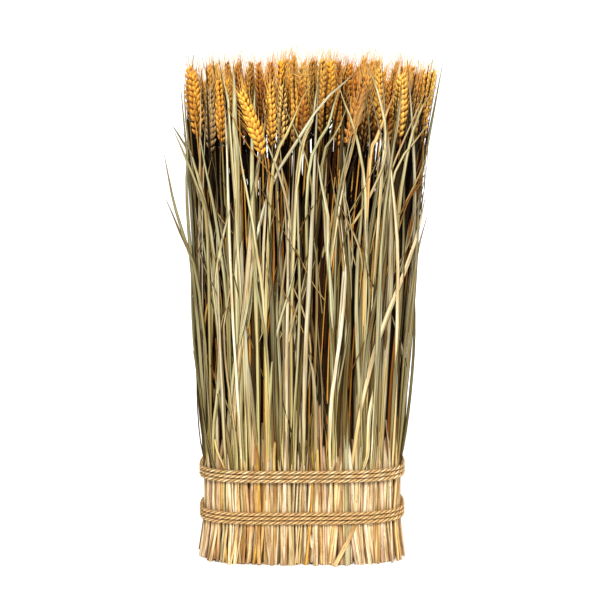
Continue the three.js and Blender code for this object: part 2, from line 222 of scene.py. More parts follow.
class Pile:
    # Copies of templates that become one mesh, each with a cell of its own in the baking map.
    def __init__(self):
        self.kinds = {}

    def add(self, template, coords, tint, stretch=1.0):
        tints = np.broadcast_to(np.asarray(tint, float), (len(coords), 4))
        self.kinds.setdefault(template, []).append((coords, tints, stretch))

    def build(self, name, materials, scale=mm):
        bm = bmesh.new()
        coords, tints, cells, strands = [], [], [], []
        whole = sum(kind.area * len(copies) for kind, copies in self.kinds.items())
        floor = 0.0
        for kind, copies in self.kinds.items():
            height = kind.area * len(copies) / whole
            columns = max(1, math.ceil(math.sqrt(len(copies) * kind.ratio / height)))
            rows = math.ceil(len(copies) / columns)
            size = np.array([1 / columns, height / rows])
            for index, (places, colours, stretch) in enumerate(copies):
                bm.from_mesh(kind.mesh)
                corner = np.array([index % columns / columns, floor + index // columns * size[1]])
                cells.append(corner + (0.03 + 0.94 * kind.cell) * size)
                strands.append(kind.strand * np.array([1, stretch]))
                coords.append(places)
                tints.append(colours)
            floor += height
        mesh = bpy.data.meshes.new(name)
        bm.to_mesh(mesh)
        bm.free()
        writeArray(mesh.vertices, "co", coords, scale)
        writeArray(mesh.uv_layers["OFBake"].uv, "vector", cells)
        writeArray(mesh.uv_layers["strand"].uv, "vector", strands)
        colour = mesh.color_attributes.get("tint")
        colour = colour or mesh.color_attributes.new("tint", "FLOAT_COLOR", "POINT")
        writeArray(colour.data, "color", tints)
        for material in materials:
            mesh.materials.append(material)
        mesh.update()
        return mesh


def addPiece(name, pile, materials, nodes):
    mesh = pile.build(name, materials)
    piece = bpy.data.objects.new(name, mesh)
    bpy.context.collection.objects.link(piece)
    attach(piece, "root")
    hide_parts(*nodes)
    return len(mesh.polygons)


def asTemplate(bm, name, area, ratio):
    mesh = bpy.data.meshes.new(name)
    bm.to_mesh(mesh)
    bm.free()
    return Template(mesh, area, ratio)


def sortFaces(bm):
    # Some operators give the same faces in another order each time.
    bm.faces.sort(key=lambda face: face.calc_center_median().dot((1, 100, 10)))


def newMaps(bm):
    # One for baking, and one that runs along the strand for the materials.
    return bm.loops.layers.uv.new("OFBake"), bm.loops.layers.uv.new("strand")


def mapAround(bm, sides):
    # Side faces unroll by their angle, end faces lie in a strip of their own.
    cell, strand = newMaps(bm)
    for face in bm.faces:
        middle = face.calc_center_median()
        turn = math.atan2(middle.z, middle.x) / (2 * math.pi) % 1
        first = math.floor(turn * sides + 1e-4)
        for loop in face.loops:
            x, y, z = loop.vert.co
            if abs(face.normal.y) > 0.9:
                shift = 0.25 if middle.y < 0.5 else 0.75
                loop[cell].uv = (shift + x * 0.2, 0.93 + 0.06 * z)
                loop[strand].uv = (0.5 + x * 0.2, y)
                continue
            own = math.atan2(z, x) / (2 * math.pi) % 1 if math.hypot(x, z) > 1e-4 else turn
            share = own * sides - first
            if abs(share) > sides / 2:  # it lies across the seam
                share -= math.copysign(sides, share)
            loop[cell].uv = ((first + share) / sides, 0.86 * y)
            loop[strand].uv = ((first + share) / sides, y)


def layAlong(bm):
    # From upright around the origin to lying along +Y from 0 to 1.
    bmesh.ops.rotate(bm, verts=bm.verts, matrix=Matrix.Rotation(-math.pi / 2, 3, "X"))
    bmesh.ops.translate(bm, verts=bm.verts, vec=(0, 0.5, 0))


def rodTemplate(name, sides, cuts, hollow, area, ratio, tip=1.0):
    bm = bmesh.new()
    bmesh.ops.create_cone(bm, cap_ends=True, segments=sides, radius1=1, radius2=tip, depth=1)
    layAlong(bm)
    if hollow:
        ends = [face for face in bm.faces if abs(face.normal.y) > 0.9]
        bmesh.ops.inset_individual(bm, faces=ends, thickness=0.3)
        bmesh.ops.inset_individual(bm, faces=ends, thickness=0.06, depth=-hollow)
    for cut in cuts:
        parts = bm.verts[:] + bm.edges[:] + bm.faces[:]
        bmesh.ops.bisect_plane(bm, geom=parts, plane_co=(0, cut, 0), plane_no=(0, 1, 0))
    for face in bm.faces:
        face.smooth = True
    for edge in bm.edges:
        if edge.calc_face_angle(0) > 1.2:
            edge.smooth = False
    bm.normal_update()
    mapAround(bm, sides)
    return asTemplate(bm, name, area, ratio)


def leafTemplate():
    bm = bmesh.new()
    bmesh.ops.create_grid(bm, x_segments=2, y_segments=12, size=1)
    bmesh.ops.scale(bm, verts=bm.verts, vec=(1, 0.5, 1))
    bmesh.ops.translate(bm, verts=bm.verts, vec=(0, 0.5, 0))
    bmesh.ops.solidify(bm, geom=bm.faces[:], thickness=1)
    low = min(vert.co.z for vert in bm.verts)
    bmesh.ops.translate(bm, verts=bm.verts, vec=(0, 0, -0.5 - low))
    sortFaces(bm)
    bmesh.ops.recalc_face_normals(bm, faces=bm.faces)
    for face in bm.faces:
        face.smooth = True
    for edge in bm.edges:
        midrib = all(abs(vert.co.x) < 0.01 for vert in edge.verts)
        if midrib or edge.calc_face_angle(0) > 1:
            edge.smooth = False
    bm.normal_update()
    cell, strand = newMaps(bm)
    for face in bm.faces:
        for loop in face.loops:
            x, y, z = loop.vert.co
            across = (x + 1) / 2
            if abs(face.normal.z) > 0.5:
                u = 0.44 * across if face.normal.z > 0 else 0.52 + 0.44 * across
                loop[cell].uv = (u, 0.06 + 0.88 * y)
            elif abs(face.normal.x) > 0.5:
                u = 0.46 if face.normal.x > 0 else 0.98
                loop[cell].uv = (u + 0.02 * z, 0.06 + 0.88 * y)
            else:
                loop[cell].uv = (0.1 + 0.3 * across, (0.97 if y > 0.5 else 0.02) + 0.02 * z)
            loop[strand].uv = (across, y)
    return asTemplate(bm, "leaf", 1.0, 1.6)


def grainTemplate():
    bm = bmesh.new()
    bmesh.ops.create_uvsphere(bm, u_segments=6, v_segments=5, radius=1)
    bmesh.ops.scale(bm, verts=bm.verts, vec=(1, 1, 0.5))
    layAlong(bm)
    sortFaces(bm)
    for vert in bm.verts:
        slim = 1.12 - 0.62 * vert.co.y ** 1.5  # fuller at the base, drawn out to the tip
        bmesh.ops.scale(bm, verts=[vert], vec=(slim, 1, slim))
    for face in bm.faces:
        face.smooth = True
    bm.normal_update()
    mapAround(bm, 6)
    return asTemplate(bm, "grain", 1.0, 1.4)


ear = {
    "length": 76,
    "spikelets": 21,
    "lean": 0.5,
    "grainLength": 10.6,
    "grainWide": 2.7,
    "grainThick": 2.1,
    "awnLength": (14, 34),
    "awnRadius": 0.2,
}


def earTemplate(grain, awnRod, number):
    # Spikelets of three grains lean out on either side by turns. Awns leave mainly the upper ones.
    rng = random.Random(700 + number)
    pile = Pile()
    step = (ear["length"] - ear["grainLength"] * 0.8) / (ear["spikelets"] - 1)
    for index in range(ear["spikelets"]):
        side = -1 if index % 2 else 1
        share = index / (ear["spikelets"] - 1)
        swell = 0.56 + 0.5 * math.sin(math.pi * (0.04 + 0.9 * share) ** 0.7)
        height = index * step
        lean = ear["lean"] * (1 - 0.5 * share) + rng.uniform(-0.06, 0.06)
        for floret in (-1, 1, 0):
            outer = floret == 0
            out = lean + (0.1 if outer else -0.04)
            tilt = 0.16 * floret + rng.uniform(-0.05, 0.05)
            way = np.array([side * math.sin(out), math.cos(out), tilt])
            proud, raised = (1.5, 2.0) if outer else (-0.5, 0)
            root = np.array([side * proud * swell, height + raised, floret * 1.5])
            tip = root + way * ear["grainLength"] * swell * rng.uniform(0.92, 1.06)
            wide = ear["grainWide"] * (0.85 if outer else 1) * swell
            places = grain.lay([root, tip], (1, 0, 0), wide, ear["grainThick"] * swell)
            shade = rng.uniform(0.8, 1.1)
            pile.add(grain, places, (shade, shade, shade, rng.random()))
            if (outer and share > 0.2) or share > 0.82 or rng.random() < 0.25:
                reach = rng.uniform(*ear["awnLength"]) * (0.5 + 0.5 * share)
                stray = [rng.uniform(-0.12, 0.12) for _ in range(4)]
                aim = way * np.array([0.6, 1, 0.9]) + np.array([stray[0], 0, stray[1]])
                bend = tip + aim * reach * 0.5
                end = bend + (aim + np.array([stray[2], 0, stray[3]])) * reach * 0.5
                radius = ear["awnRadius"]
                places = awnRod.lay([tip - way * 1.5, bend, end], (0, 0, 1), radius, radius)
                pile.add(awnRod, places, (1, 1, 1, rng.random()))
    mesh = pile.build("ear" + str(number), [], 1)
    bm = bmesh.new()
    bm.from_mesh(mesh)
    bmesh.ops.scale(bm, verts=bm.verts, vec=(1, 1 / ear["length"], 1))
    bm.to_mesh(mesh)
    bm.free()
    return Template(mesh, 30.0, 1.3)


leafBlade = leafTemplate()
joints = (0.2, 0.47, 0.74)  # of a stem
jointCuts = [joint + step for joint in joints for step in (-0.01, 0, 0.01)]
stemCuts = sorted([0.08, 0.33, 0.4, 0.6, 0.67, 0.87, 0.94] + jointCuts)
strawCuts = (0.1, 0.22, 0.36, 0.5, 0.66, 0.82)
rods = {
    "straw": {"sides": 8, "cuts": strawCuts, "hollow": 0.02, "area": 1.0, "ratio": 2.0},
    "coreStraw": {"sides": 6, "cuts": (0.3, 0.6), "hollow": 0.02, "area": 0.4, "ratio": 1.6},
    "stem": {"sides": 6, "cuts": stemCuts, "hollow": 0, "area": 3.0, "ratio": 3.0},
    "awn": {"sides": 3, "cuts": (0.5,), "hollow": 0, "area": 0.12, "ratio": 2.0, "tip": 0.3},
}
strawRod, coreRod, stemRod, awnRod = (rodTemplate(name, **facts) for name, facts in rods.items())
for index, rod in ((1, awnRod), (2, stemRod)):  # grains take the first material
    for polygon in rod.mesh.polygons:
        polygon.material_index = index
grainShape = grainTemplate()
earShapes = [earTemplate(grainShape, awnRod, number) for number in range(4)]
print("templates made:", len(earShapes[0].coords), "vertices in an ear")


def colourOf(code, alpha=1.0):
    parts = [int(code[i:i + 2], 16) / 255 for i in (1, 3, 5)]
    linear = [c / 12.92 if c <= 0.04045 else ((c + 0.055) / 1.055) ** 2.4 for c in parts]
    return np.array(linear + [alpha])


def pick(rng, palette):
    # A colour of the palette, a little lighter or darker, with a random number in its alpha.
    codes, weights = zip(*palette)
    colour = colourOf(rng.choices(codes, weights)[0]) * rng.uniform(0.86, 1.12)
    colour[3] = rng.random()
    return colour


def levels(amount, powers=(1, 1, 1)):
    # Factors for red, green and blue, from one amount or from one for each point. Alpha stays.
    return np.stack([amount ** power for power in powers] + [amount * 0 + 1], -1)


def shaded(colour, amount):
    # Painted shade: inner strands are painted darker and browner than the outer ones.
    return colour * levels(amount, (1, 1.15, 1.45))


def turned(colour, goal, share):
    # Towards another colour by a share for each point. Alpha stays here too.
    return colour + (goal - colour) * share * np.array([1, 1, 1, 0])


def fadeTo(colour, template, goal, start):
    # The colour turns to another one towards the strand's tip.
    along = np.clip((template.coords[:, 1] - start) / (1 - start), 0, 1)[:, None] ** 1.5
    return turned(colour, goal, along)


class Wire:
    # An output socket. Arithmetic on it adds Math nodes.
    def __init__(self, shader, socket):
        self.shader = shader
        self.socket = socket

    def maths(self, operation, first, second):
        return self.shader.add("ShaderNodeMath", {"operation": operation}, {0: first, 1: second})

    def __add__(self, other):
        return self.maths("ADD", self, other)

    def __radd__(self, other):
        return self.maths("ADD", other, self)

    def __mul__(self, other):
        return self.maths("MULTIPLY", self, other)

    def __rmul__(self, other):
        return self.maths("MULTIPLY", other, self)


class Shader:
    def __init__(self, name):
        self.material = bpy.data.materials.new(name)
        self.material.use_nodes = True
        self.tree = self.material.node_tree
        self.tree.nodes.clear()

    def add(self, kind, settings=None, values=None, output=0):
        node = self.tree.nodes.new(kind)
        for key, value in (settings or {}).items():
            if key == "stops":
                for element, (position, level) in zip(node.color_ramp.elements, value):
                    element.position = position
                    element.color = (level, level, level, 1)
            else:
                setattr(node, key, value)
        for key, value in (values or {}).items():
            if isinstance(value, Wire):
                self.tree.links.new(value.socket, node.inputs[key])
            else:
                node.inputs[key].default_value = value
        return Wire(self, node.outputs[output]) if node.outputs else node

    def blend(self, factor, first, second, mode="MIX"):
        sides = [(*side, 1) if isinstance(side, tuple) else side for side in (first, second)]
        settings = {"data_type": "RGBA", "blend_type": mode}
        return self.add("ShaderNodeMix", settings, {0: factor, 6: sides[0], 7: sides[1]}, 2)

    def times(self, first, second):
        return self.blend(1.0, first, second, "MULTIPLY")

    def ramp(self, factor, stops, share=1.0):
        # Grey, from 0 at the first stop to the share at the second.
        ends = [(stops[0], 0), (stops[1], share)]
        return self.add("ShaderNodeValToRGB", {"stops": ends}, {0: factor})

    def tint(self):
        return self.add("ShaderNodeAttribute", {"attribute_name": "tint"})

    def onStrand(self, axis):
        # How far around the strand a point is, or along it: axis 0 or 1.
        uv = self.add("ShaderNodeUVMap", {"uv_map": "strand"})
        return self.add("ShaderNodeSeparateXYZ", None, {0: uv}, axis)

    def roundness(self):
        # 0 at both sides of a leaf and 1 at its middle: the mask for the painted shade along the
        # leaf's edges.
        across = self.onStrand(0)
        return across * (across * -4 + 4)

    def noise(self, stretch, scale, detail):
        # Drawn out along the strand, and different on every strand.
        own = self.add("ShaderNodeAttribute", {"attribute_name": "tint"}, None, 3)
        place = {0: self.onStrand(0) * stretch[0], 1: self.onStrand(1) * stretch[1], 2: own * 37}
        vector = self.add("ShaderNodeCombineXYZ", None, place)
        values = {"Vector": vector, "Scale": scale, "Detail": detail}
        return self.add("ShaderNodeTexNoise", None, values)

    def finish(self, values):
        surface = self.add("ShaderNodeBsdfPrincipled", None, values)
        self.add("ShaderNodeOutputMaterial", None, {0: surface})
        return self.material


def strandMaterial(look, base=Shader.tint):
    # On the strand's own colour, tones shade it, worn patches turn it and specks cover it. A layer
    # without noise paints shade along the edges of a leaf.
    shader = Shader(look["name"])
    colour = base(shader)
    noises = {}
    for layer, facts in look["layers"].items():
        if "stretch" in facts:
            noises[layer] = shader.noise(facts["stretch"], facts.get("scale", 1), facts["detail"])
        pattern = noises.get(layer) or shader.roundness()
        amount = shader.ramp(pattern, facts["stops"], facts.get("share", 1))
        if "tones" in facts:
            colour = shader.times(colour, shader.blend(amount, *facts["tones"]))
        elif "worn" in facts:
            colour = shader.blend(amount, colour, shader.times(colour, facts["worn"]))
        else:
            colour = shader.blend(amount, colour, facts["speck"])
    least, more = look["roughness"]
    values = {"Base Color": colour, "Specular IOR Level": look["specular"]}
    values["Roughness"] = least + more * noises.get("patches", noises["fibres"])
    if "bump" in look:
        strength, height = look["bump"]
        bump = {"Strength": strength, "Distance": height, "Height": noises["fibres"]}
        values["Normal"] = shader.add("ShaderNodeBump", None, bump)
    return shader.finish(values)


leafLook = {
    "name": "driedLeaf",
    "layers": {
        # Painted shade along both edges of a leaf, where it meets its neighbours.
        "sides": {"stops": (0.1, 0.6), "tones": ((0.16, 0.13, 0.09), (1.07, 1.07, 1.07))},
        "streaks": {
            "stretch": (4, 1.8), "detail": 3, "stops": (0.4, 0.56),
            "tones": ((0.58, 0.51, 0.4), (1.08, 1.08, 1.08)),
        },
        "fibres": {
            "stretch": (14, 0.6), "detail": 2, "stops": (0.35, 0.65),
            "tones": ((0.68, 0.65, 0.58), (1.1, 1.1, 1.1)),
        },
        "patches": {
            "stretch": (0.8, 1.6), "scale": 1.3, "detail": 3, "stops": (0.5, 0.7), "share": 0.8,
            "worn": (0.95, 0.74, 0.5),
        },
        "specks": {
            "stretch": (5, 14), "scale": 2.2, "detail": 2, "stops": (0.68, 0.75), "share": 0.7,
            "speck": (0.1, 0.055, 0.02),
        },
    },
    "bump": (0.35, 0.0006),  # strength, and height in metres
    "roughness": (0.55, 0.25),  # the least, and what the patches add
    "specular": 0.06,
}

strawLook = {
    "name": "cutStraw",
    "layers": {
        "streaks": {
            "stretch": (5, 2.6), "detail": 3, "stops": (0.38, 0.56),
            "tones": ((0.5, 0.38, 0.24), (1.05, 1.05, 1.04)),
        },
        "fibres": {
            "stretch": (16, 0.5), "detail": 2, "stops": (0.35, 0.65),
            "tones": ((0.82, 0.76, 0.7), (1.03, 1.02, 1.0)),
        },
        "patches": {
            "stretch": (1.0, 2.4), "scale": 1.2, "detail": 3, "stops": (0.54, 0.78), "share": 0.8,
            "worn": (0.8, 0.6, 0.36),
        },
        "specks": {
            "stretch": (7, 12), "scale": 2, "detail": 2, "stops": (0.66, 0.71), "share": 0.85,
            "speck": (0.09, 0.05, 0.02),
        },
    },
    "bump": (0.3, 0.0005),
    "roughness": (0.42, 0.25),
    "specular": 0.35,
}

grainLook = {
    "name": "wheatGrain",
    "layers": {
        "fibres": {
            "stretch": (9, 0.7), "detail": 1, "stops": (0.35, 0.65),
            "tones": ((0.7, 0.6, 0.5), (1.2, 1.2, 1.2)),
        },
    },
    # Painted shade at a grain's root and a painted highlight at its tip.
    "root": (0.28, 0.15, 0.06),
    "tip": (1.34, 1.52, 2.0),
    "bump": (0.35, 0.0005),
    "roughness": (0.4, 0.2),
    "specular": 0.28,
}


def paintedGrainShadeAndHighlight(shader):
    # Painted shade where a grain leaves the ear, between the spikelets, and a painted highlight at
    # its pale tip.
    tint, along = shader.tint(), shader.onStrand(1)
    root, tip = (shader.times(tint, grainLook[end]) for end in ("root", "tip"))
    colour = shader.blend(shader.ramp(along, (0.2, 0.6)), root, tint)
    return shader.blend(shader.ramp(along, (0.58, 0.85)), colour, tip)


awnLook = {
    "name": "awn",
    "layers": {
        "fibres": {
            "stretch": (3, 2), "detail": 1, "stops": (0.3, 0.7),
            "tones": ((0.8, 0.8, 0.8), (1.15, 1.15, 1.15)),
        },
    },
    "pale": (0.8, 0.5, 0.18),
    "paleShare": 0.42,
    "roughness": (0.55, 0.15),
    "specular": 0.2,
}


def awnBase(shader):
    return shader.blend(awnLook["paleShare"], shader.tint(), awnLook["pale"])


stemLook = {
    "name": "goldenStem",
    "layers": {
        "fibres": {
            "stretch": (10, 0.5), "detail": 2, "stops": (0.35, 0.65),
            "tones": ((0.75, 0.68, 0.58), (1.12, 1.12, 1.1)),
        },
        "patches": {
            "stretch": (1, 3), "scale": 1.1, "detail": 2, "stops": (0.52, 0.72), "share": 0.7,
            "worn": (0.75, 0.56, 0.42),
        },
    },
    "bump": (0.25, 0.0004),
    "roughness": (0.38, 0.2),
    "specular": 0.08,
}

ropeLook = {
    "name": "hempRope",
    "layers": {
        "fibres": {
            "stretch": (22, 2.2), "detail": 3, "stops": (0.3, 0.7),
            "tones": ((0.5, 0.42, 0.32), (1.3, 1.28, 1.2)),
        },
        "patches": {
            "stretch": (1.2, 2.4), "detail": 2, "stops": (0.55, 0.7), "share": 0.8,
            "worn": (0.85, 1.0, 0.9),
        },
    },
    "bump": (0.7, 0.0007),
    "roughness": (0.8, 0.1),
    "specular": 0.2,
}


leafFinish = strandMaterial(leafLook)
strawFinish = strandMaterial(strawLook)
wheatFinishes = [
    strandMaterial(grainLook, paintedGrainShadeAndHighlight),
    strandMaterial(awnLook, awnBase),
    strandMaterial(stemLook),
]
ropeFinish = strandMaterial(ropeLook)
print("materials made")

straws = {
    "pitch": 3.5,  # along the rim
    "width": (2.6, 5.6),
    "wideShare": 0.12,
    "wideWidth": (5.6, 7.8),
    "thickness": (2.4, 3.8),
    "layers": (1, 0),
    "layerDepth": 0.42,  # share of the ring
    "heights": (30, 82),  # between the floor, the ties and the top
    "lean": 4.0,
    "drift": 1.6,
    "top": (122, 300),
    # Painted shade on the straws' tops, which lie under the leaves.
    "tipShade": 0.42,
    "brightest": 0.95,
    "stretch": 1.7,  # of the pattern along a straw
    "flankShade": (0.52, 0.64, 0.74, 0),
    "paintedFootLight": 0.06,  # painted light: lighter below the lower tie, a little darker above it
    "palette": [
        ("#F4DFB4", 5.5), ("#F7EACB", 4.5), ("#EED192", 4.5), ("#F0C254", 1.5), ("#E2D09C", 3),
        ("#BEBA8E", 1.8), ("#EDC896", 2), ("#F0D8BC", 2.2), ("#CDA866", 1.1), ("#9C7440", 0.6),
    ],
    "cutBrown": "#8A5C2C",
    "loose": {
        "points": [(38, 1.5, 6), (48, 19, 3), (58, 38, 1), (62, 54, -1.4)],
        "width": 5.2,
        "thickness": 2.2,
        "colour": "#E2BE84",
    },
}
strawBrown = colourOf(straws["cutBrown"])


def rimStraw(pile, share, layer, rng):
    narrow = rng.random() < 1 - straws["wideShare"]
    width = rng.uniform(*straws["width" if narrow else "wideWidth"])
    thick = rng.uniform(*straws["thickness"]) * (0.6 if width > 5 else 1)
    depth = (thick * 0.5 - 0.5 + rng.uniform(0, 1.6) ** 2 * 0.8) / bundle["ring"]
    depth = depth + layer * straws["layerDepth"]
    foot = share + rng.gauss(0, straws["lean"]) / perimeter
    drift = rng.gauss(0, straws["drift"]) / perimeter
    lowest, highest = straws["top"]
    top = lowest + (highest - lowest) * rng.random() ** 1.8
    floor = rng.uniform(0, 0.4) if rng.random() < 0.7 else rng.uniform(0.8, 3.5)
    lift = rng.uniform(-0.25, 0.35)
    tied, low, between = bundle["upperTie"], *straws["heights"]
    points = [
        ringPoint(foot, depth - lift, floor),
        ringPoint(share + (foot - share) * 0.42, depth - lift * 0.6, low),
        ringPoint(share, depth, bundle["lowerTie"]),
        ringPoint(share + drift * 0.5, depth - 0.05, between),
        ringPoint(share + drift, depth, tied),
        ringPoint(share + drift * 2, depth + 0.1, 0.5 * (top + tied)),
        ringPoint(share + drift * 3, depth + 0.3 + (top - lowest) / 140, top),
    ]
    # Painted shade: straws deeper in the ring are painted darker.
    colour = shaded(pick(rng, straws["palette"]), 1 - 0.5 * min(1, max(0, depth - 0.15) / 0.6))
    roll = rng.uniform(-0.5, 0.5)
    places = strawRod.lay(points, acrossRing(share), width / 2, thick / 2, (roll, roll))
    places[:, 2] = np.maximum(places[:, 2], 0)
    # Painted shade: above the tie the straws lie under the leaves, so their tops are painted
    # darker.
    tints = fadeTo(colour, strawRod, colour * straws["tipShade"], 0.5)
    dark = np.clip(1 - strawRod.coords[:, 1] / 0.06, 0, 1)[:, None] * rng.uniform(0, 0.5)
    paintedFlankShade = np.abs(strawRod.coords[:, 0])[:, None] ** 3 * np.array(straws["flankShade"])
    tints = turned(tints, strawBrown, dark) * (1 - paintedFlankShade)  # painted shade where the straws touch their neighbours
    # Painted light: the straws are painted a little lighter below the lower tie and a little
    # darker above it.
    footLightLevel = 1 + straws["paintedFootLight"] * np.clip((bundle["lowerTie"] - places[:, 2]) / 20, -0.6, 1)
    tints = np.minimum(tints * levels(footLightLevel), straws["brightest"])
    pile.add(strawRod, places, tints, straws["stretch"])


def looseStraw(pile, rng):
    # The one cut straw that lies askew at the front of the foot: x, z and lift off the front.
    loose = straws["loose"]
    raised = [frontPoint(x, z, lift) for x, z, lift in loose["points"]]
    wide, thick = loose["width"] / 2, loose["thickness"] / 2
    places = strawRod.lay(raised, (1, 0, 0), wide, thick, (0.2, 0.2))
    pile.add(strawRod, places, colourOf(loose["colour"], rng.random()), 0.6)


def strawRim(name, start, end, nodes, seed):
    rng = random.Random(seed)
    pile = Pile()
    for layer in straws["layers"]:
        count = round((end - start) * perimeter / straws["pitch"])
        for index in range(count):
            share = start + (end - start) * (index + rng.uniform(0.25, 0.75)) / count
            rimStraw(pile, share, layer, rng)
    if "leaves_front_4" in nodes:
        looseStraw(pile, rng)
    return addPiece(name, pile, [strawFinish], nodes)


frontTufts = ["leaves_front_" + str(i + 1) for i in range(5)]
backTufts = ["leaves_back_" + str(i + 1) for i in range(5)]
# Which part of the way round the rim they take, their nodes and their seed.
rims = {
    "Front": (0.35, 0.65, frontTufts, 21),
    "Back": (0.85, 1.15, backTufts, 22),
    "Left": (0.15, 0.35, ["leaves_left"], 23),
    "Right": (0.65, 0.85, ["leaves_right"], 24),
}
made = sum(strawRim("straws" + side, *facts) for side, facts in rims.items())

wheatRows = ("front", "middle", "back")
wheatNodes = {}
for row in wheatRows:
    for column in range(9):
        wheatNodes[row, column] = "wheat_" + row + "_" + str(column + 1)

inside = {
    "columns": 38,
    "rows": 13,
    "width": (4.2, 6.6),
    "floor": (0, 4),
    "top": (120, 172),
    "shade": 0.5,
}


def innerStraws():
    rng = random.Random(31)
    pile = Pile()
    columns, rows = inside["columns"], inside["rows"]
    for stepX in range(columns):
        for stepY in range(rows):
            u = (stepX + 0.5 + rng.uniform(-0.3, 0.3)) / (columns / 2) - 1
            v = (stepY + 0.5 + rng.uniform(-0.3, 0.3)) / (rows / 2) - 1
            width = rng.uniform(*inside["width"])
            top = rng.uniform(*inside["top"])
            floor = rng.uniform(*inside["floor"])
            points = [corePoint(u, v, floor), corePoint(u, v, 60), corePoint(u, v, top)]
            # Painted shade: the straws inside the bundle are painted darker.
            colour = shaded(pick(rng, straws["palette"]), inside["shade"])
            roll = rng.uniform(0, 3)
            places = coreRod.lay(points, (1, 0, 0), width / 2, width / 2.3, (roll, roll))
            places[:, 2] = np.maximum(places[:, 2], 0)
            pile.add(coreRod, places, colour, 1.6)
    return addPiece("strawsInside", pile, [strawFinish], sorted(wheatNodes.values()))


made += innerStraws()
print("straws made:", made, "faces")

leaves = {
    "width": (2.2, 8.4),
    "short": (430, 0.8),  # leaves that end below this height are narrower by this factor
    "thickness": 0.6,
    "root": (84, 112),
    "perFrontTuft": 31,
    "perBackTuft": 43,
    "perSide": 86,
    "tips": [(0.42, 490, 588), (0.75, 380, 490), (1, 200, 380)],  # chance, lowest and highest
    "crossing": 0.3,
    "crossingLean": 34,
    "lean": 11,  # of the others
    "outer": (0.42, -0.1, 0.6),  # chance, and depth in shares of the ring
    "inner": (0.6, 2.4),
    "belly": 7,
    "kinked": (0.28, 55),  # chance, and how far the tip bends away
    "strays": 0.3,
    "strayStart": (190, 400),
    "strayRise": (100, 210),
    "strayTop": 586,
    "strayWidth": (1.5, 3.6),
    "strayLean": (10, 44),
    "fold": (0.06, 0.3),
    "rootReach": 130,  # how far up the pressed roots are painted lighter
    "brightest": 0.9,
    "palette": [
        ("#A09A76", 5), ("#7E7656", 4), ("#BAB296", 6), ("#B29C6C", 3), ("#CFBE98", 4),
        ("#DFD8BE", 7), ("#6B5C36", 3), ("#AC7438", 1.8), ("#B2A88C", 4), ("#D0A866", 2),
        ("#87794A", 3), ("#5A5038", 2.5),
    ],
    "innerWidth": (3.6, 7.6),
    "innerTips": [(0.7, 470, 590), (1, 300, 470)],
    "innerPalette": [
        ("#8A6230", 4), ("#6E5430", 4), ("#94703A", 3), ("#5E4E30", 3), ("#A6713A", 2),
    ],
    "tipBrown": "#7A5226",
}
leafBrown = colourOf(leaves["tipBrown"])


def addLeaf(pile, points, across, width, roll, fold, colour, rng, amount=1.0, blunt=False):
    ending, side, reach = rng.uniform(3, 6), rng.choice((-1, 1)), pathLength(points)

    def wide(along):
        taper = 1 - 0.35 * along if blunt else 1 - along ** ending
        return width / 2 * np.minimum(1, 0.6 + 1.6 * along) * np.maximum(taper, 0.05)

    def thick(along):
        return leaves["thickness"] * (1 - 0.25 * along)

    places = leafBlade.lay(points, across, wide, thick, roll, fold)
    tints = fadeTo(colour, leafBlade, leafBrown, 0.86 if rng.random() < 0.45 else 0.95)
    u, along = leafBlade.coords[:, 0], leafBlade.coords[:, 1]
    root = np.clip(1 - along * reach / leaves["rootReach"], 0, 1)
    rootLight = 0.28 + 0.76 * colour[3]  # painted light: the tie presses some roots outwards more than others, so these are painted lighter
    level = amount + max(0, rootLight - amount) * root ** 3
    # Painted light and shade across a leaf: one edge is painted much darker than the other, and
    # both edges darker near the root.
    lit = 1.06 + side * 0.24 * u - (0.24 + 0.2 * root) * np.abs(u)
    yellower = 1 - root[:, None] * np.array([-0.12, 0.0, 0.36, 0])
    tints = shaded(tints * levels(lit), level) * yellower
    pile.add(leafBlade, places, np.minimum(tints, leaves["brightest"]), reach / 100)


def tipHeight(rng, tips):
    chance = rng.random()
    for most, lowest, highest in tips:
        if chance < most:
            return rng.uniform(lowest, highest)


def ringLeaf(pile, start, end, rng):
    share = rng.uniform(start, end)
    spread = leaves["crossingLean" if rng.random() < leaves["crossing"] else "lean"]
    lean = rng.gauss(0, spread) / perimeter
    low = rng.uniform(*leaves["root"])
    high = tipHeight(rng, leaves["tips"])
    often, *outerDepth = leaves["outer"]
    layer = rng.uniform(*outerDepth) if rng.random() < often else rng.uniform(*leaves["inner"])
    standsOut = rng.random() < 0.25
    tipDepth = layer + (rng.uniform(-1.2, -0.2) if standsOut else rng.uniform(-0.3, 0.6))
    wave, beat, phase = rng.gauss(0, 6) / perimeter, rng.uniform(4, 9), rng.uniform(0, 6)
    (often, far), kink, bend = leaves["kinked"], 1, 0
    if rng.random() < often:
        kink, bend = rng.uniform(0.5, 0.9), rng.gauss(0, far) / perimeter
    belly = min(leaves["belly"], abs(rng.gauss(0, 4))) / bundle["ring"] * max(0, 1 - layer)
    points = []
    for step in (0, 0.15, 0.32, 0.5, 0.68, 0.84, 1):
        sway = share + lean * step ** 1.4 + wave * step ** 0.6 * math.sin(step * beat + phase)
        sway = sway + bend * max(0, step - kink)
        depth = layer + (tipDepth - layer) * step ** 2 + (0.35 if step == 0 else 0)
        depth = depth - belly * math.sin(math.pi * min(1, step * 1.3))
        points.append(ringPoint(sway, depth, low + (high - low) * step))
    shortTop, narrower = leaves["short"]
    width = rng.uniform(*leaves["width"]) * (narrower if high < shortTop else 1)
    twist = rng.uniform(-0.5, 0.5)
    spin = (twist, twist + rng.gauss(0, 0.7))
    fold = rng.choice((-1, 1)) * rng.uniform(*leaves["fold"])
    # Painted shade: leaves deeper in the ring are painted darker, those of the inner layers nearly
    # black.
    lit = max(0.09, min(1.07, 1.22 - 2.2 * max(0, layer)))
    if layer >= leaves["inner"][0]:
        lit = 0.002 + 0.07 * max(0, 1 - (layer - 0.6) / 1.8) ** 2
    colour = pick(rng, leaves["palette"])
    addLeaf(pile, points, acrossRing(share), width, spin, fold, colour, rng, lit)


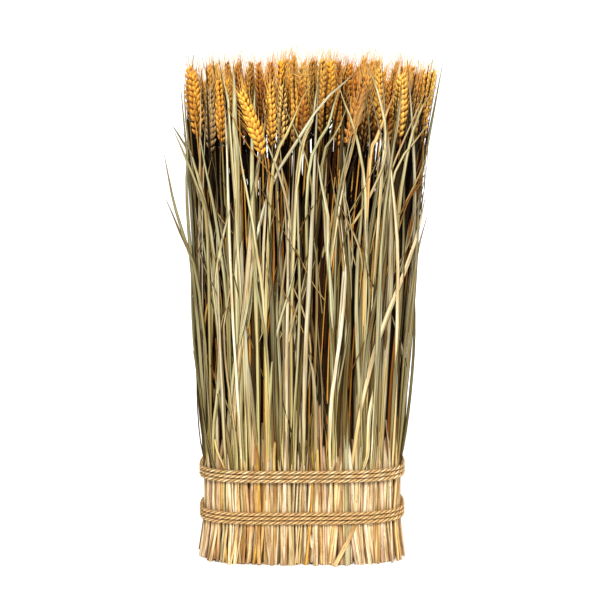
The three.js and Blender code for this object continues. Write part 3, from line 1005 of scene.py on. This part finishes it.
# Leaves that show clearly at the front: x and z from the root up, lift off it, width, colour.
markedLeaves = {
    1: [
        ([(-66, 100), (-66, 220), (-59, 326), (-51, 388), (-42, 421), (-31, 454), (-5, 496),
          (20, 535), (42, 556), (62, 574)], 5.5, 6, "#D0CFB4"),
        ([(-86, 100), (-92, 230), (-98, 320), (-96, 356), (-89, 388),
          (-79, 426)], 2.5, 6, "#C8BE94"),
        ([(-110, 100), (-106, 240), (-100, 362), (-106, 402), (-111, 428), (-116, 448),
          (-121, 464), (-127, 482), (-136, 503)], 3, 6.5, "#B2AC84"),
        ([(-114, 100), (-119, 260), (-121, 380), (-122, 435), (-124, 478), (-127, 528),
          (-129, 574)], 1, 4, "#6E5A34"),
        ([(-64, 100), (-66, 220), (-70, 315), (-73, 372), (-75, 429), (-80, 496), (-82, 538),
          (-86, 558), (-92, 584)], 2.5, 5.5, "#C9C29A"),
        ([(-70, 100), (-74, 300), (-73, 463), (-75, 508), (-75, 548),
          (-76, 581)], 1.5, 11, "#BDB890"),
        ([(-80, 100), (-84, 330), (-84, 463), (-82, 518), (-80, 567)], 0.5, 5, "#8E8A60"),
        ([(-82, 100), (-84, 220), (-86, 315), (-92, 366), (-100, 421), (-110, 471),
          (-116, 510)], 1.8, 6, "#A5A27A"),
        ([(-103, 110), (-103, 157), (-97, 204), (-95, 260), (-101, 322),
          (-106, 380)], 2.2, 7, "#B8B48F"),
        ([(-82, 110), (-82, 169), (-78, 233), (-66, 287), (-59, 326),
          (-54, 372)], 2.8, 6, "#BDB890"),
    ],
    2: [
        ([(-40, 100), (-40, 220), (-44, 315), (-51, 366), (-57, 410), (-67, 464),
          (-72, 505)], 2.8, 6, "#C4BC92"),
        ([(-50, 100), (-52, 300), (-56, 440), (-55, 507), (-53, 533),
          (-52, 559)], 2.2, 8, "#BAB68C"),
        ([(-40, 100), (-42, 260), (-38, 380), (-32, 468), (-17, 503), (-4, 533),
          (12, 565)], 3.4, 6, "#C9BC86"),
        ([(-38, 110), (-38, 169), (-34, 237), (-27, 282), (-14, 326),
          (-4, 368)], 2.4, 6, "#B4B08A"),
        ([(-36, 110), (-38, 215), (-42, 271), (-51, 326), (-58, 372)], 3.2, 5, "#A3A078"),
    ],
    3: [
        ([(-10, 100), (-12, 300), (-8, 420), (-2, 487), (11, 517), (15, 543),
          (19, 569)], 2.2, 5, "#BDB488"),
        ([(-12, 100), (-12, 280), (-8, 400), (-6, 440), (-2, 469), (3, 496),
          (10, 510)], 3, 5, "#D2C79A"),
        ([(-20, 110), (-23, 138), (-19, 237), (-12, 282), (-1, 322), (6, 356)], 2, 6, "#C2B98F"),
        ([(0, 100), (6, 300), (5, 420), (11, 479), (29, 512), (35, 534),
          (43, 557)], 2.6, 5.5, "#B2AE84"),
    ],
    4: [
        ([(36, 100), (36, 230), (34, 315), (29, 366), (29, 410), (22, 447),
          (16, 483)], 3.6, 6.5, "#C9C6A4"),
        ([(30, 100), (34, 240), (28, 380), (22, 472), (40, 508), (52, 540)], 2.2, 5, "#A9A478"),
        ([(66, 100), (72, 300), (72, 400), (68, 464), (57, 512), (48, 535),
          (38, 564)], 3, 6, "#C6BE94"),
        ([(70, 100), (80, 300), (86, 400), (90, 464), (93, 501), (90, 527), (82, 556),
          (72, 580)], 2.6, 6, "#CFC59C"),
        ([(30, 110), (32, 181), (36, 237), (32, 326), (30, 380)], 2.8, 7, "#B5B28C"),
    ],
    5: [
        ([(66, 100), (70, 260), (72, 400), (76, 479), (82, 496), (93, 524),
          (106, 557)], 2.2, 7.5, "#D2AE72"),
        ([(88, 100), (100, 300), (112, 440), (122, 496), (127, 512), (135, 533),
          (152, 554)], 2.4, 5.5, "#B7AF84"),
        ([(84, 100), (90, 280), (96, 400), (106, 464), (133, 501),
          (143, 515)], 2.6, 5, "#BFB488"),
        ([(112, 110), (118, 170), (122, 226), (127, 293), (129, 326),
          (131, 392)], 1.5, 6.5, "#A8A680"),
    ],
}

# Wisps and broken ends that lie across the front: x and z, lift off the front, width and colour.
wisps = {
    1: [
        ([(-118, 274), (-109, 246), (-100, 219)], 3.5, 1.6, "#6B5330"),
        ([(-101, 148), (-98, 134), (-93, 123), (-89, 113)], 5, 3.4, "#EADCB4"),
        ([(-82, 532), (-64, 496), (-45, 471), (-30, 452)], 5.5, 1.5, "#B98A4C"),
    ],
    2: [
        ([(-32, 100), (-32, 126), (-31, 148)], 1.5, 5, "#DCCB9A"),
        ([(-45, 441), (-30, 412), (-14, 381), (1, 357)], 5, 1.4, "#7D6A3E"),
    ],
    3: [
        ([(18, 100), (18, 128), (17, 153)], 1.2, 4.6, "#D9C592"),
        ([(-10, 570), (-2, 567), (7, 567)], 6, 2.6, "#E0BC84"),
        ([(-7, 373), (11, 336), (27, 312)], 4.5, 1.5, "#C7B184"),
    ],
    4: [
        ([(64, 530), (56, 485), (44, 441)], 4.5, 1.6, "#D0BE8C"),
    ],
    5: [
        ([(86, 316), (73, 270), (57, 233)], 4, 1.6, "#8A6B38"),
        ([(140, 454), (123, 434), (109, 411)], 6, 1.4, "#8F6430"),
        ([(136, 446), (121, 428), (112, 404)], 5, 1.2, "#A5753A"),
    ],
}

# Leaves that hang out at the sides: x, y, z from the root up, width and colour.
hangingLeaves = {
    "left": [
        ([(-107, -29, 100), (-110, -34, 240), (-120, -40, 340), (-129, -42, 369),
          (-138, -44, 399), (-145, -44, 425), (-151, -43, 455), (-156, -42, 484)], 5, "#A9A67E"),
        ([(-111, -8, 100), (-115, -12, 240), (-120, -17, 330), (-129, -20, 362), (-139, -24, 386),
          (-148, -25, 409), (-157, -25, 430)], 4, "#8E875C"),
        ([(-106, -30, 100), (-106, -42, 300), (-108, -54, 410), (-119, -58, 448),
          (-132, -62, 482), (-143, -64, 508)], 5.5, "#B4AE86"),
        ([(-112, 10, 100), (-117, 8, 300), (-122, 4, 420), (-130, 0, 474), (-141, 0, 496),
          (-149, -2, 509)], 4.5, "#9C9468"),
        ([(-111, -14, 100), (-114, -17, 150), (-118, -19, 195), (-124, -21, 245),
          (-127, -22, 305), (-127, -20, 370)], 5, "#8D8A62"),
        ([(-111, 4, 100), (-114, 3, 160), (-118, 2, 235), (-123, 1, 300), (-128, 0, 360),
          (-132, -2, 420)], 5, "#7C7548"),
        ([(-110, -24, 100), (-114, -28, 180), (-120, -31, 280), (-127, -33, 360),
          (-131, -35, 440), (-128, -36, 500)], 6, "#A8A784"),
    ],
    "right": [
        ([(112, -12, 100), (119, -16, 260), (128, -20, 370), (135, -24, 430),
          (139, -26, 500)], 6, "#B3AE88"),
        ([(112, 12, 100), (119, 14, 260), (129, 18, 400), (140, 22, 490),
          (150, 26, 546)], 5.5, "#A39C72"),
        ([(110, -24, 100), (118, -28, 240), (126, -30, 320), (133, -30, 370),
          (144, -30, 412)], 5, "#BCB28A"),
        ([(113, -10, 100), (120, -12, 140), (126, -14, 190), (130, -16, 250), (130, -17, 305),
          (127, -18, 370)], 5, "#9B9468"),
        ([(112, -22, 100), (117, -25, 160), (123, -28, 230), (128, -30, 300), (132, -32, 380),
          (133, -33, 450)], 6, "#C2BC98"),
        ([(113, 6, 100), (120, 6, 170), (127, 7, 260), (131, 8, 340),
          (134, 10, 430)], 5, "#857C4C"),
    ],
}


def strayLeaf(pile, start, end, rng):
    # A narrow leaf that leaves the others half way up and crosses them.
    share = rng.uniform(start, end)
    low, rise = rng.uniform(*leaves["strayStart"]), rng.uniform(*leaves["strayRise"])
    high = min(leaves["strayTop"], low + rise)
    lean = rng.choice((-1, 1)) * rng.uniform(*leaves["strayLean"]) / perimeter
    curl = rng.gauss(0, 10) / perimeter
    points = []
    for step in (0, 0.25, 0.5, 0.75, 1):
        sway = share + lean * (step - 0.4) + curl * math.sin(step * math.pi)
        depth = 0.8 - 1.3 * min(1, step * 1.6) + (0.6 * step if rng.random() < 0.5 else 0)
        points.append(ringPoint(sway, depth, low + (high - low) * step))
    colour = shaded(pick(rng, leaves["palette"]), rng.uniform(0.75, 1.0))
    twist = rng.uniform(-0.6, 0.6)
    width = rng.uniform(*leaves["strayWidth"])
    spin = (twist, twist + rng.gauss(0, 0.6))
    addLeaf(pile, points, acrossRing(share), width, spin, 0.12, colour, rng)


def leafTuft(name, start, end, count, node, seed, marked=(), hanging=(), broken=()):
    rng = random.Random(seed)
    pile = Pile()
    for _ in range(count):
        ringLeaf(pile, start, end, rng)
    for _ in range(round(count * leaves["strays"])):
        strayLeaf(pile, start, end, rng)
    for points, lift, width, code in marked:
        raised = []
        for index, (x, z) in enumerate(points):
            step = index / (len(points) - 1)
            raised.append(frontPoint(x, z, -2 + (lift + 2) * step ** (0.5 if lift < 4 else 2.2)))
        colour = colourOf(code, rng.random())
        twist = rng.uniform(-0.25, 0.25)
        spin, fold = (twist, -twist), rng.uniform(0.08, 0.2)
        addLeaf(pile, raised, (1, 0, 0), width * 0.66, spin, fold, colour, rng)
    for points, lift, width, code in broken:
        laid = [frontPoint(x, z, lift) for x, z in points]
        colour = shaded(colourOf(code, rng.random()), 0.85)
        addLeaf(pile, laid, (1, 0, 0), width, (0, 0.3), 0.1, colour, rng, 0.9, True)
    for points, width, code in hanging:
        outwards = np.array([-points[0][1], points[0][0], 0.0])
        colour = shaded(colourOf(code, rng.random()), 0.7)
        across = outwards / np.linalg.norm(outwards)
        addLeaf(pile, points, across, width * 0.75, (-1.0, -1.3), 0.15, colour, rng)
    return addPiece(name, pile, [leafFinish], [node])


made = 0
span = 0.06  # the part of the way round that one of the five tufts takes
for i in range(5):
    start, number, count = 0.35 + span * i, str(i + 1), leaves["perFrontTuft"]
    name, detail = "leavesFront" + number, {"marked": markedLeaves[i + 1], "broken": wisps[i + 1]}
    made += leafTuft(name, start, start + span, count, frontTufts[i], 41 + i, **detail)
    name, start, count = "leavesBack" + number, start + 0.5, leaves["perBackTuft"]
    made += leafTuft(name, start, start + span, count, backTufts[i], 61 + i)
for side, start, seed in (("left", 0.15, 71), ("right", 0.65, 72)):
    name, node, count = "leaves" + side.capitalize(), "leaves_" + side, leaves["perSide"]
    made += leafTuft(name, start, start + 0.2, count, node, seed, hanging=hangingLeaves[side])


def innerLeaves(name, low, high, row, count, seed):
    rng = random.Random(seed)
    pile = Pile()
    root = bundle["bound"]
    for index in range(count):
        u = -0.96 + 1.92 * (index + rng.random()) / count
        v = rng.uniform(low, high)
        lean = rng.gauss(0, 0.05)
        top = tipHeight(rng, leaves["innerTips"])
        points = []
        for step in (0, 0.25, 0.5, 0.75, 1):
            side = max(-0.99, min(0.99, u + lean * step + 0.01 * math.sin(step * 6 + u * 30)))
            points.append(corePoint(side, v, root + (top - root) * step))
        twist, width = rng.uniform(-0.9, 0.9), rng.uniform(*leaves["innerWidth"])
        spin = (twist, twist + rng.gauss(0, 0.8))
        fold = rng.uniform(-0.25, 0.25)
        # Painted shade: leaves inside the bundle are painted very dark, a little less towards its
        # rim.
        lit = 0.012 + 0.09 * max(abs(v), abs(u) ** 5) ** 3
        colour = shaded(pick(rng, leaves["innerPalette"]), lit)
        addLeaf(pile, points, (1, 0, 0), width, spin, fold, colour, rng)
    nodes = [wheatNodes[row, column] for column in range(9)]
    return addPiece(name, pile, [leafFinish], nodes)


# Between which depths they stand, from -1 to 1, the row they stand for, their number and seed.
innerRows = {
    "Front": (-0.98, -0.3, "front", 70, 81),
    "Middle": (-0.35, 0.35, "middle", 50, 82),
    "Back": (0.3, 0.98, "back", 70, 83),
}
made += sum(innerLeaves("leavesInside" + part, *facts) for part, facts in innerRows.items())
print("leaves made:", made, "faces")

wheat = {
    "columns": [-0.97, -0.77, -0.63, -0.36, -0.18, 0.03, 0.29, 0.525, 0.7, 0.97],
    "spacing": 0.052,  # share of the half width between ears of a row
    "rows": (-0.72, -0.4, -0.05, 0.3, 0.62, 0.9),
    "height": (566, 593),
    "endDrop": 16,  # towards the two sides
    "earLength": (66, 80),
    "earWidth": (9.5, 12.5),
    "stemRadius": 1.25,
    "frontRoot": 110,
    "lightStart": 280,  # where light from above begins to reach the inner stems
    "lightRise": 200,
    "lightFloor": 0.34,
    "bareStems": 0.03,
    "bareTop": (330, 560),
    "bareRadius": (0.8, 1.4),
    "bushWidth": 15,  # a front ear wider than this has the bush
    "bushAwns": 60,
    "bushReach": (18, 34),
    "palette": [
        ("#F5AF2C", 5), ("#EE9F22", 4), ("#DA841C", 2), ("#DEA036", 2), ("#F4C04C", 3),
        ("#B6701C", 1.2),
    ],
    "stemPalette": [
        ("#C4903E", 4), ("#B07A36", 4), ("#D8AC5C", 3), ("#966828", 2), ("#8F8048", 2),
    ],
    "jointBrown": "#B86420",
}
jointBrown = colourOf(wheat["jointBrown"])

# Ears that show at the front, by column: tip x, z, base x, z, depth share, width and colour.
frontEars = [
    [(-123, 572, -117, 494, -0.75, 14, "#E2A032"), (-103, 555, -103, 480, -0.84, 10.5, "#A98A54")],
    [(-93, 564, -90, 491, -0.9, 12, "#DE9C2E")],
    [(-69, 552, -44, 479, -1.12, 13.5, "#F4B238")],
    [(-35, 561, -34, 488, -0.9, 12, "#E8AC40"), (-22, 560, -23, 488, -0.92, 10.5, "#E2B458")],
    [(-10, 567, -9, 493, -0.92, 10.5, "#E0A43C"), (0, 559, 2, 486, -0.8, 11, "#B8741F")],
    [(24, 574, 22, 500, -0.82, 11, "#CE9638"), (43, 559, 41, 488, -0.9, 11.5, "#D8922A")],
    [(71, 569, 51, 490, -1.0, 15.5, "#C8801E"), (79, 549, 67, 480, -0.7, 10.5, "#C58A3A")],
    [(85, 577, 86, 505, -0.9, 11, "#E6AC40"), (99, 564, 96, 490, -0.72, 11, "#C8842A")],
    [
        (111, 571, 110, 498, -0.9, 14, "#E9B248"), (126, 561, 129, 485, -0.66, 10.5, "#BE8C40"),
        (140, 569, 138, 494, -0.42, 13.5, "#EDB44C"),
    ],
]


def addStem(pile, points, radius, colour, amount=1.0):
    def knots(along, size):
        return sum(np.exp(-((along - joint) / size) ** 2) for joint in joints)

    def thick(along):
        return radius * (1 - 0.35 * along) * (1 + 0.3 * knots(along, 0.006))

    places = stemRod.lay(points, (1, 0, 0), thick, thick)
    mark = np.clip(knots(stemRod.coords[:, 1], 0.008), 0, 1)[:, None]
    # Painted light: the inner stems are painted lighter higher up, where light from above reaches
    # them.
    fromAbove = np.clip((places[:, 2] - wheat["lightStart"]) / wheat["lightRise"], 0, 1)
    amount = amount + max(0, wheat["lightFloor"] - amount) * fromAbove
    tints = shaded(turned(colour, jointBrown, mark), amount)
    pile.add(stemRod, places, tints, pathLength(points) / 100)


def addEar(pile, base, tip, width, colour, rng, low=0.8):
    shape = earShapes[rng.randrange(len(earShapes))]
    middle = (base + tip) / 2 + np.array([rng.uniform(-1.5, 1.5), rng.uniform(-1.5, 1.5), 0])
    turn = rng.gauss(0, 0.5) if rng.random() < 0.75 else rng.uniform(0, 3)
    grow = width / 11.5
    places = shape.lay([base, middle, tip], (1, 0, 0), grow, grow, (turn, turn))
    # Painted shade: an ear is painted darker towards its base; low is how dark its base is.
    paintedBaseShade = low + (1 - low) * np.clip(shape.coords[:, 1] / 0.95, 0, 1) ** 1.4
    tints = shape.tint * np.append(colour[:3], 1) * levels(paintedBaseShade, (1, 1.1, 1.25))
    pile.add(shape, places, tints)


def awnBush(pile, base, tip, colour, rng):
    # The one ear whose awns stand out all along it.
    straight = (tip - base) / np.linalg.norm(tip - base)
    for _ in range(wheat["bushAwns"]):
        share = rng.uniform(0.02, 0.9)
        start = base + (tip - base) * share
        way = straight + np.array([rng.gauss(0.05, 0.22), rng.uniform(-0.25, 0.05), 0])
        reach = rng.uniform(*wheat["bushReach"]) * (1.1 - 0.4 * share)
        start = start + np.array([rng.uniform(-5, 5), rng.uniform(-7, -2), 0])
        end = start + (way + np.array([rng.gauss(0, 0.1), 0, 0])) * reach
        points = [start, start + way * reach * 0.5, end]
        awn = shaded(colour, rng.choice((0.15, 0.4, 0.9)))
        places = awnRod.lay(points, (1, 0, 0), 0.32, 0.25)
        pile.add(awnRod, places, np.append(awn[:3], rng.random()), reach / 100)


def frontEar(pile, marks, rng):
    tipX, tipZ, baseX, baseZ, v, width, code = marks
    tip = corePoint(coreShare(tipX, tipZ), v, tipZ)
    base = corePoint(coreShare(baseX, baseZ), v, baseZ)
    addEar(pile, base, tip, width, colourOf(code), rng)
    if width > wheat["bushWidth"]:
        awnBush(pile, base, tip, colourOf(code), rng)
    slope = (base - tip) / np.linalg.norm(base - tip)
    root = corePoint(coreShare(base[0], base[2]), max(-0.95, v), wheat["frontRoot"])
    below = base + slope * 22
    half = (below + root) / 2 + np.array([rng.uniform(-3, 3), 0, 0])
    points = [root, half, below, base + (tip - base) * 0.04]
    addStem(pile, points, wheat["stemRadius"], pick(rng, wheat["stemPalette"]))


def wheatColumn(column, seed):
    rng = random.Random(seed)
    pile = Pile()
    root = bundle["bound"]
    left, right = wheat["columns"][column:column + 2]
    for marks in frontEars[column]:
        frontEar(pile, marks, rng)
    count = max(1, round((right - left) / wheat["spacing"] / 1.6))
    for v in wheat["rows"]:
        for index in range(count):
            u = left + (right - left) * (index + rng.uniform(0.2, 0.8)) / count
            height = rng.uniform(*wheat["height"]) - wheat["endDrop"] * abs(u)
            depth = v + rng.uniform(-0.1, 0.1)
            lean = rng.gauss(0, 0.02)
            tip = corePoint(max(-0.98, min(0.98, u + lean)), depth, height)
            base = corePoint(u, depth, height - rng.uniform(*wheat["earLength"]))
            rim = max(abs(v), abs(u) ** 5)  # 1 where the light reaches
            width = rng.uniform(*wheat["earWidth"])
            # Painted shade: ears further inside are painted darker, and all these ears much darker
            # at their base.
            colour = shaded(pick(rng, wheat["palette"]), 0.62 + 0.38 * rim ** 1.5)
            addEar(pile, base, tip, width, colour, rng, 0.16)
            points = []
            for step in (0, 0.35, 0.7):
                side = u + rng.uniform(-0.02, 0.02)
                points.append(corePoint(side, depth, root + (base[2] - root) * step))
            points.append(base + (tip - base) * 0.04)
            colour = pick(rng, wheat["stemPalette"])
            # Painted shade: stems further inside are painted darker.
            addStem(pile, points, wheat["stemRadius"], colour, 0.03 + 0.78 * rim ** 2.2)
    for index in range(round((right - left) / wheat["bareStems"] * 2)):
        u = rng.uniform(left, right)
        top = rng.uniform(*wheat["bareTop"])
        v = rng.uniform(-1.1, -0.8) if index % 2 else rng.uniform(0.8, 1.1)
        lean = rng.gauss(0, 0.06)
        points = []
        for step in (0, 0.3, 0.65, 1):
            side = max(-0.98, min(0.98, u + lean * step))
            points.append(corePoint(side, v, root + (top - root) * step))
        addStem(pile, points, rng.uniform(*wheat["bareRadius"]), pick(rng, wheat["stemPalette"]))
    nodes = [wheatNodes[row, column] for row in wheatRows]
    return addPiece("wheatColumn" + str(column + 1), pile, wheatFinishes, nodes)


made = sum(wheatColumn(column, 91 + column) for column in range(9))
print("wheat made:", made, "faces")

rope = {
    "radius": 2.35,
    "plies": 3,
    "plyRadius": 1.22,
    "groove": 1.3,  # where the painted shade in the grooves between the plies begins
    "pitch": 20,  # of the twist
    "station": 2.1,
    "turnRise": 5,
    "turns": 3,
    "stationsPerTurn": 22,
    "easing": 0.65,
    "play": 0.9,
    "fray": 14,  # length of the loose ends
    "hairs": 260,
    "hairReach": (2, 6),
    "hairRadius": 0.13,
    "palette": [("#EDCA95", 3), ("#DFB984", 2), ("#F8DFB4", 2)],
    "hairPalette": [("#D9BE8A", 3), ("#A98A54", 2), ("#9A9468", 1)],
}
# The knot at the back: x, how far out and z of each rope end, from the middle of the tie.
knotStart = [
    (-17, 1.2, 30), (-13, 2.5, 21), (-5, 5.4, 11), (5, 5.6, 5),
    (13, 5.2, -1), (16, 3, -7), (9, 0.3, -8.6),
]
knotEnd = [
    (-9, 0.3, 8.6), (-15, 3.4, 8), (-16.5, 8, 2), (-10, 10.6, -2),
    (2, 9.6, -6), (10, 6, -13), (14, 3, -22), (17, 1.5, -32),
]


def ropeCentre(height):
    b, off = bundle, rope["radius"] + rope["play"]
    behind = [np.array([x, b["halfDepth"] + off + out, height + z]) for x, out, z in knotStart]
    ahead = [np.array([x, b["halfDepth"] + off + out, height + z]) for x, out, z in knotEnd]
    turns = []
    for index in range(rope["turns"] * rope["stationsPerTurn"] + 1):
        share = index / rope["stationsPerTurn"]
        angle = share * 2 * math.pi
        x = -math.copysign(abs(math.sin(angle)) ** rope["easing"], math.sin(angle))
        y = math.copysign(abs(math.cos(angle)) ** rope["easing"], math.cos(angle))
        reach = outlineReach(x, y)
        x, y = (b["halfWidth"] + off) * x / reach, (b["halfDepth"] + off) * y / reach
        turns.append(np.array([x, y, height + (share - rope["turns"] / 2) * rope["turnRise"]]))
    return behind + turns + ahead


def plyTemplate(stations):
    # A long tube from a grid: its long edges are welded and its ends are filled.
    rows = 40  # of the baking map, which the tube crosses by turns
    bm = bmesh.new()
    cell, strand = newMaps(bm)
    bmesh.ops.create_grid(bm, x_segments=7, y_segments=stations, size=1)
    for face in bm.faces:
        face.smooth = True
        for loop in face.loops:
            around, along = (loop.vert.co.x + 1) / 2, (loop.vert.co.y + 1) / 2
            middle = (face.calc_center_median().y + 1) / 2
            row = min(rows - 1, math.floor(middle * rows))
            loop[strand].uv = (around, along)
            loop[cell].uv = ((row + 0.92 * around) / rows, (along * rows - row) * 0.94 + 0.03)
    for vert in bm.verts:
        angle = (vert.co.x + 1) * math.pi
        vert.co = Vector((math.cos(angle), (vert.co.y + 1) / 2, -math.sin(angle)))
    bmesh.ops.remove_doubles(bm, verts=bm.verts, dist=1e-5)
    rims = [edge for edge in bm.edges if edge.is_boundary]
    caps = bmesh.ops.holes_fill(bm, edges=rims, sides=0)["faces"]
    for face in caps:
        for loop in face.loops:
            x, y, z = loop.vert.co
            loop[cell].uv = (0.985 + 0.01 * x, (0.4 if y < 0.5 else 0.6) + 0.01 * z)
    bmesh.ops.recalc_face_normals(bm, faces=bm.faces)
    return asTemplate(bm, "ply", 1.0, 1.0)


def ropeTie(name, height, node, seed):
    rng = random.Random(seed)
    centre = ropeCentre(height)
    fine = np.linspace(0, 1, 4001)
    places, _ = alongPath(centre, fine)
    arc = np.concatenate([[0], np.cumsum(np.linalg.norm(np.diff(places, axis=0), axis=1))])
    stations = round(arc[-1] / rope["station"])
    even = np.interp(np.linspace(0, arc[-1], stations + 1), arc, fine)
    line, direction = alongPath(centre, even)
    outwards = line * np.array([1 / bundle["halfWidth"], 1 / bundle["halfDepth"], 0])
    outwards = outwards - direction * np.sum(outwards * direction, 1)[:, None]
    outwards = outwards / np.linalg.norm(outwards, axis=1)[:, None]
    beside = np.cross(direction, outwards)
    run = np.linspace(0, arc[-1], stations + 1)
    ply = plyTemplate(stations)
    pile = Pile()
    toEnd = np.minimum(run, arc[-1] - run)
    slack = 1 + 0.9 * np.clip(1 - toEnd / rope["fray"], 0, 1) ** 2
    wobble = 1 + 0.05 * np.sin(run * 0.37) + 0.04 * np.sin(run * 0.91)
    for index in range(rope["plies"]):
        phase = (index / rope["plies"] - run / rope["pitch"]) * 2 * math.pi
        off = ((rope["radius"] - rope["plyRadius"]) * slack)[:, None]
        path = line + (outwards * np.cos(phase)[:, None] + beside * np.sin(phase)[:, None]) * off
        x, along, z = ply.coords.T
        station = np.rint(along * stations).astype(int)
        radius = rope["plyRadius"] * wobble[station]
        coords = path[station] + outwards[station] * (x * radius)[:, None]
        coords = coords + beside[station] * (z * radius)[:, None]
        off = np.linalg.norm(coords - line[station], axis=1)
        # Painted shade: each ply is painted dark in the grooves between the plies and where a turn
        # lies against the next.
        raised = np.clip((off - rope["groove"]) / (rope["radius"] - rope["groove"]), 0, 1)
        shade = 0.16 + 0.94 * raised ** 1.2
        level = np.abs(np.sum((coords - line[station]) * beside[station], 1)) / rope["radius"]
        shade = shade * (1 - 0.6 * np.clip((level - 0.6) / 0.4, 0, 1))  # painted shade against the next turn
        tints = pick(rng, rope["palette"]) * levels(shade, (1, 1.2, 1.5))
        pile.add(ply, coords, tints, arc[-1] / 100)
    for _ in range(rope["hairs"]):
        spot = rng.randrange(10, stations - 10)
        angle = rng.uniform(-1.5, 1.5)
        way = outwards[spot] * math.cos(angle) + beside[spot] * math.sin(angle)
        start = line[spot] + way * rope["radius"] * 0.9
        reach = rng.uniform(*rope["hairReach"])
        lie = direction[spot] * rng.choice((-1, 1)) * reach
        half = start + lie * 0.5 + way * rng.uniform(0.3, 0.9)
        end = start + lie + way * rng.uniform(0.2, 2.4)
        places = awnRod.lay([start, half, end], way, rope["hairRadius"], rope["hairRadius"])
        pile.add(awnRod, places, pick(rng, rope["hairPalette"]), reach / 100)
    materials = [ropeFinish, ropeFinish]  # the hairs are awns, which take the second one
    return addPiece(name, pile, materials, [node])


made = ropeTie("upperTie", bundle["upperTie"], "rope_upper", 111)
made += ropeTie("lowerTie", bundle["lowerTie"], "rope_lower", 112)
print("rope made:", made, "faces")

studio = {
    "floorSize": 9000,  # metres to each side
    "floorColour": (0.93, 0.93, 0.93, 1),
    "surround": 0.34,
    "key": {"azimuth": -6, "elevation": 42, "spread": 16, "strength": 3.4},
    "fill": {"azimuth": 55, "elevation": 36, "spread": 30, "strength": 1.2},
    "top": {"azimuth": 190, "elevation": 64, "spread": 40, "strength": 1.6},
}


def makeStudio():
    bm = bmesh.new()
    bmesh.ops.create_grid(bm, x_segments=2, y_segments=2, size=studio["floorSize"])
    mesh = bpy.data.meshes.new("floor")
    bm.to_mesh(mesh)
    bm.free()
    floor = bpy.data.objects.new("floor", mesh)
    bpy.context.collection.objects.link(floor)
    paint = Shader("floorPaint")
    mesh.materials.append(paint.finish({"Base Color": studio["floorColour"], "Roughness": 0.9}))
    for name in ("key", "fill", "top"):
        facts = studio[name]
        azimuth, elevation = math.radians(facts["azimuth"]), math.radians(facts["elevation"])
        data = bpy.data.lights.new(name, "SUN")
        data.angle = math.radians(facts["spread"])
        data.energy = facts["strength"]
        light = bpy.data.objects.new(name, data)
        light.location = Vector((0, -3, 0))
        light.location.rotate(Matrix.Rotation(-elevation, 3, "X"))
        light.location.rotate(Matrix.Rotation(azimuth, 3, "Z"))
        light.rotation_euler = (-light.location).to_track_quat("-Z", "Y").to_euler()
        bpy.context.collection.objects.link(light)
    world = bpy.data.worlds.new("surround")
    world.use_nodes = True
    world.node_tree.nodes["Background"].inputs[0].default_value = (1, 1, 1, 1)
    world.node_tree.nodes["Background"].inputs[1].default_value = studio["surround"]
    bpy.context.scene.world = world
    bpy.context.scene.view_settings.view_transform = "Standard"


makeStudio()
print("studio set")
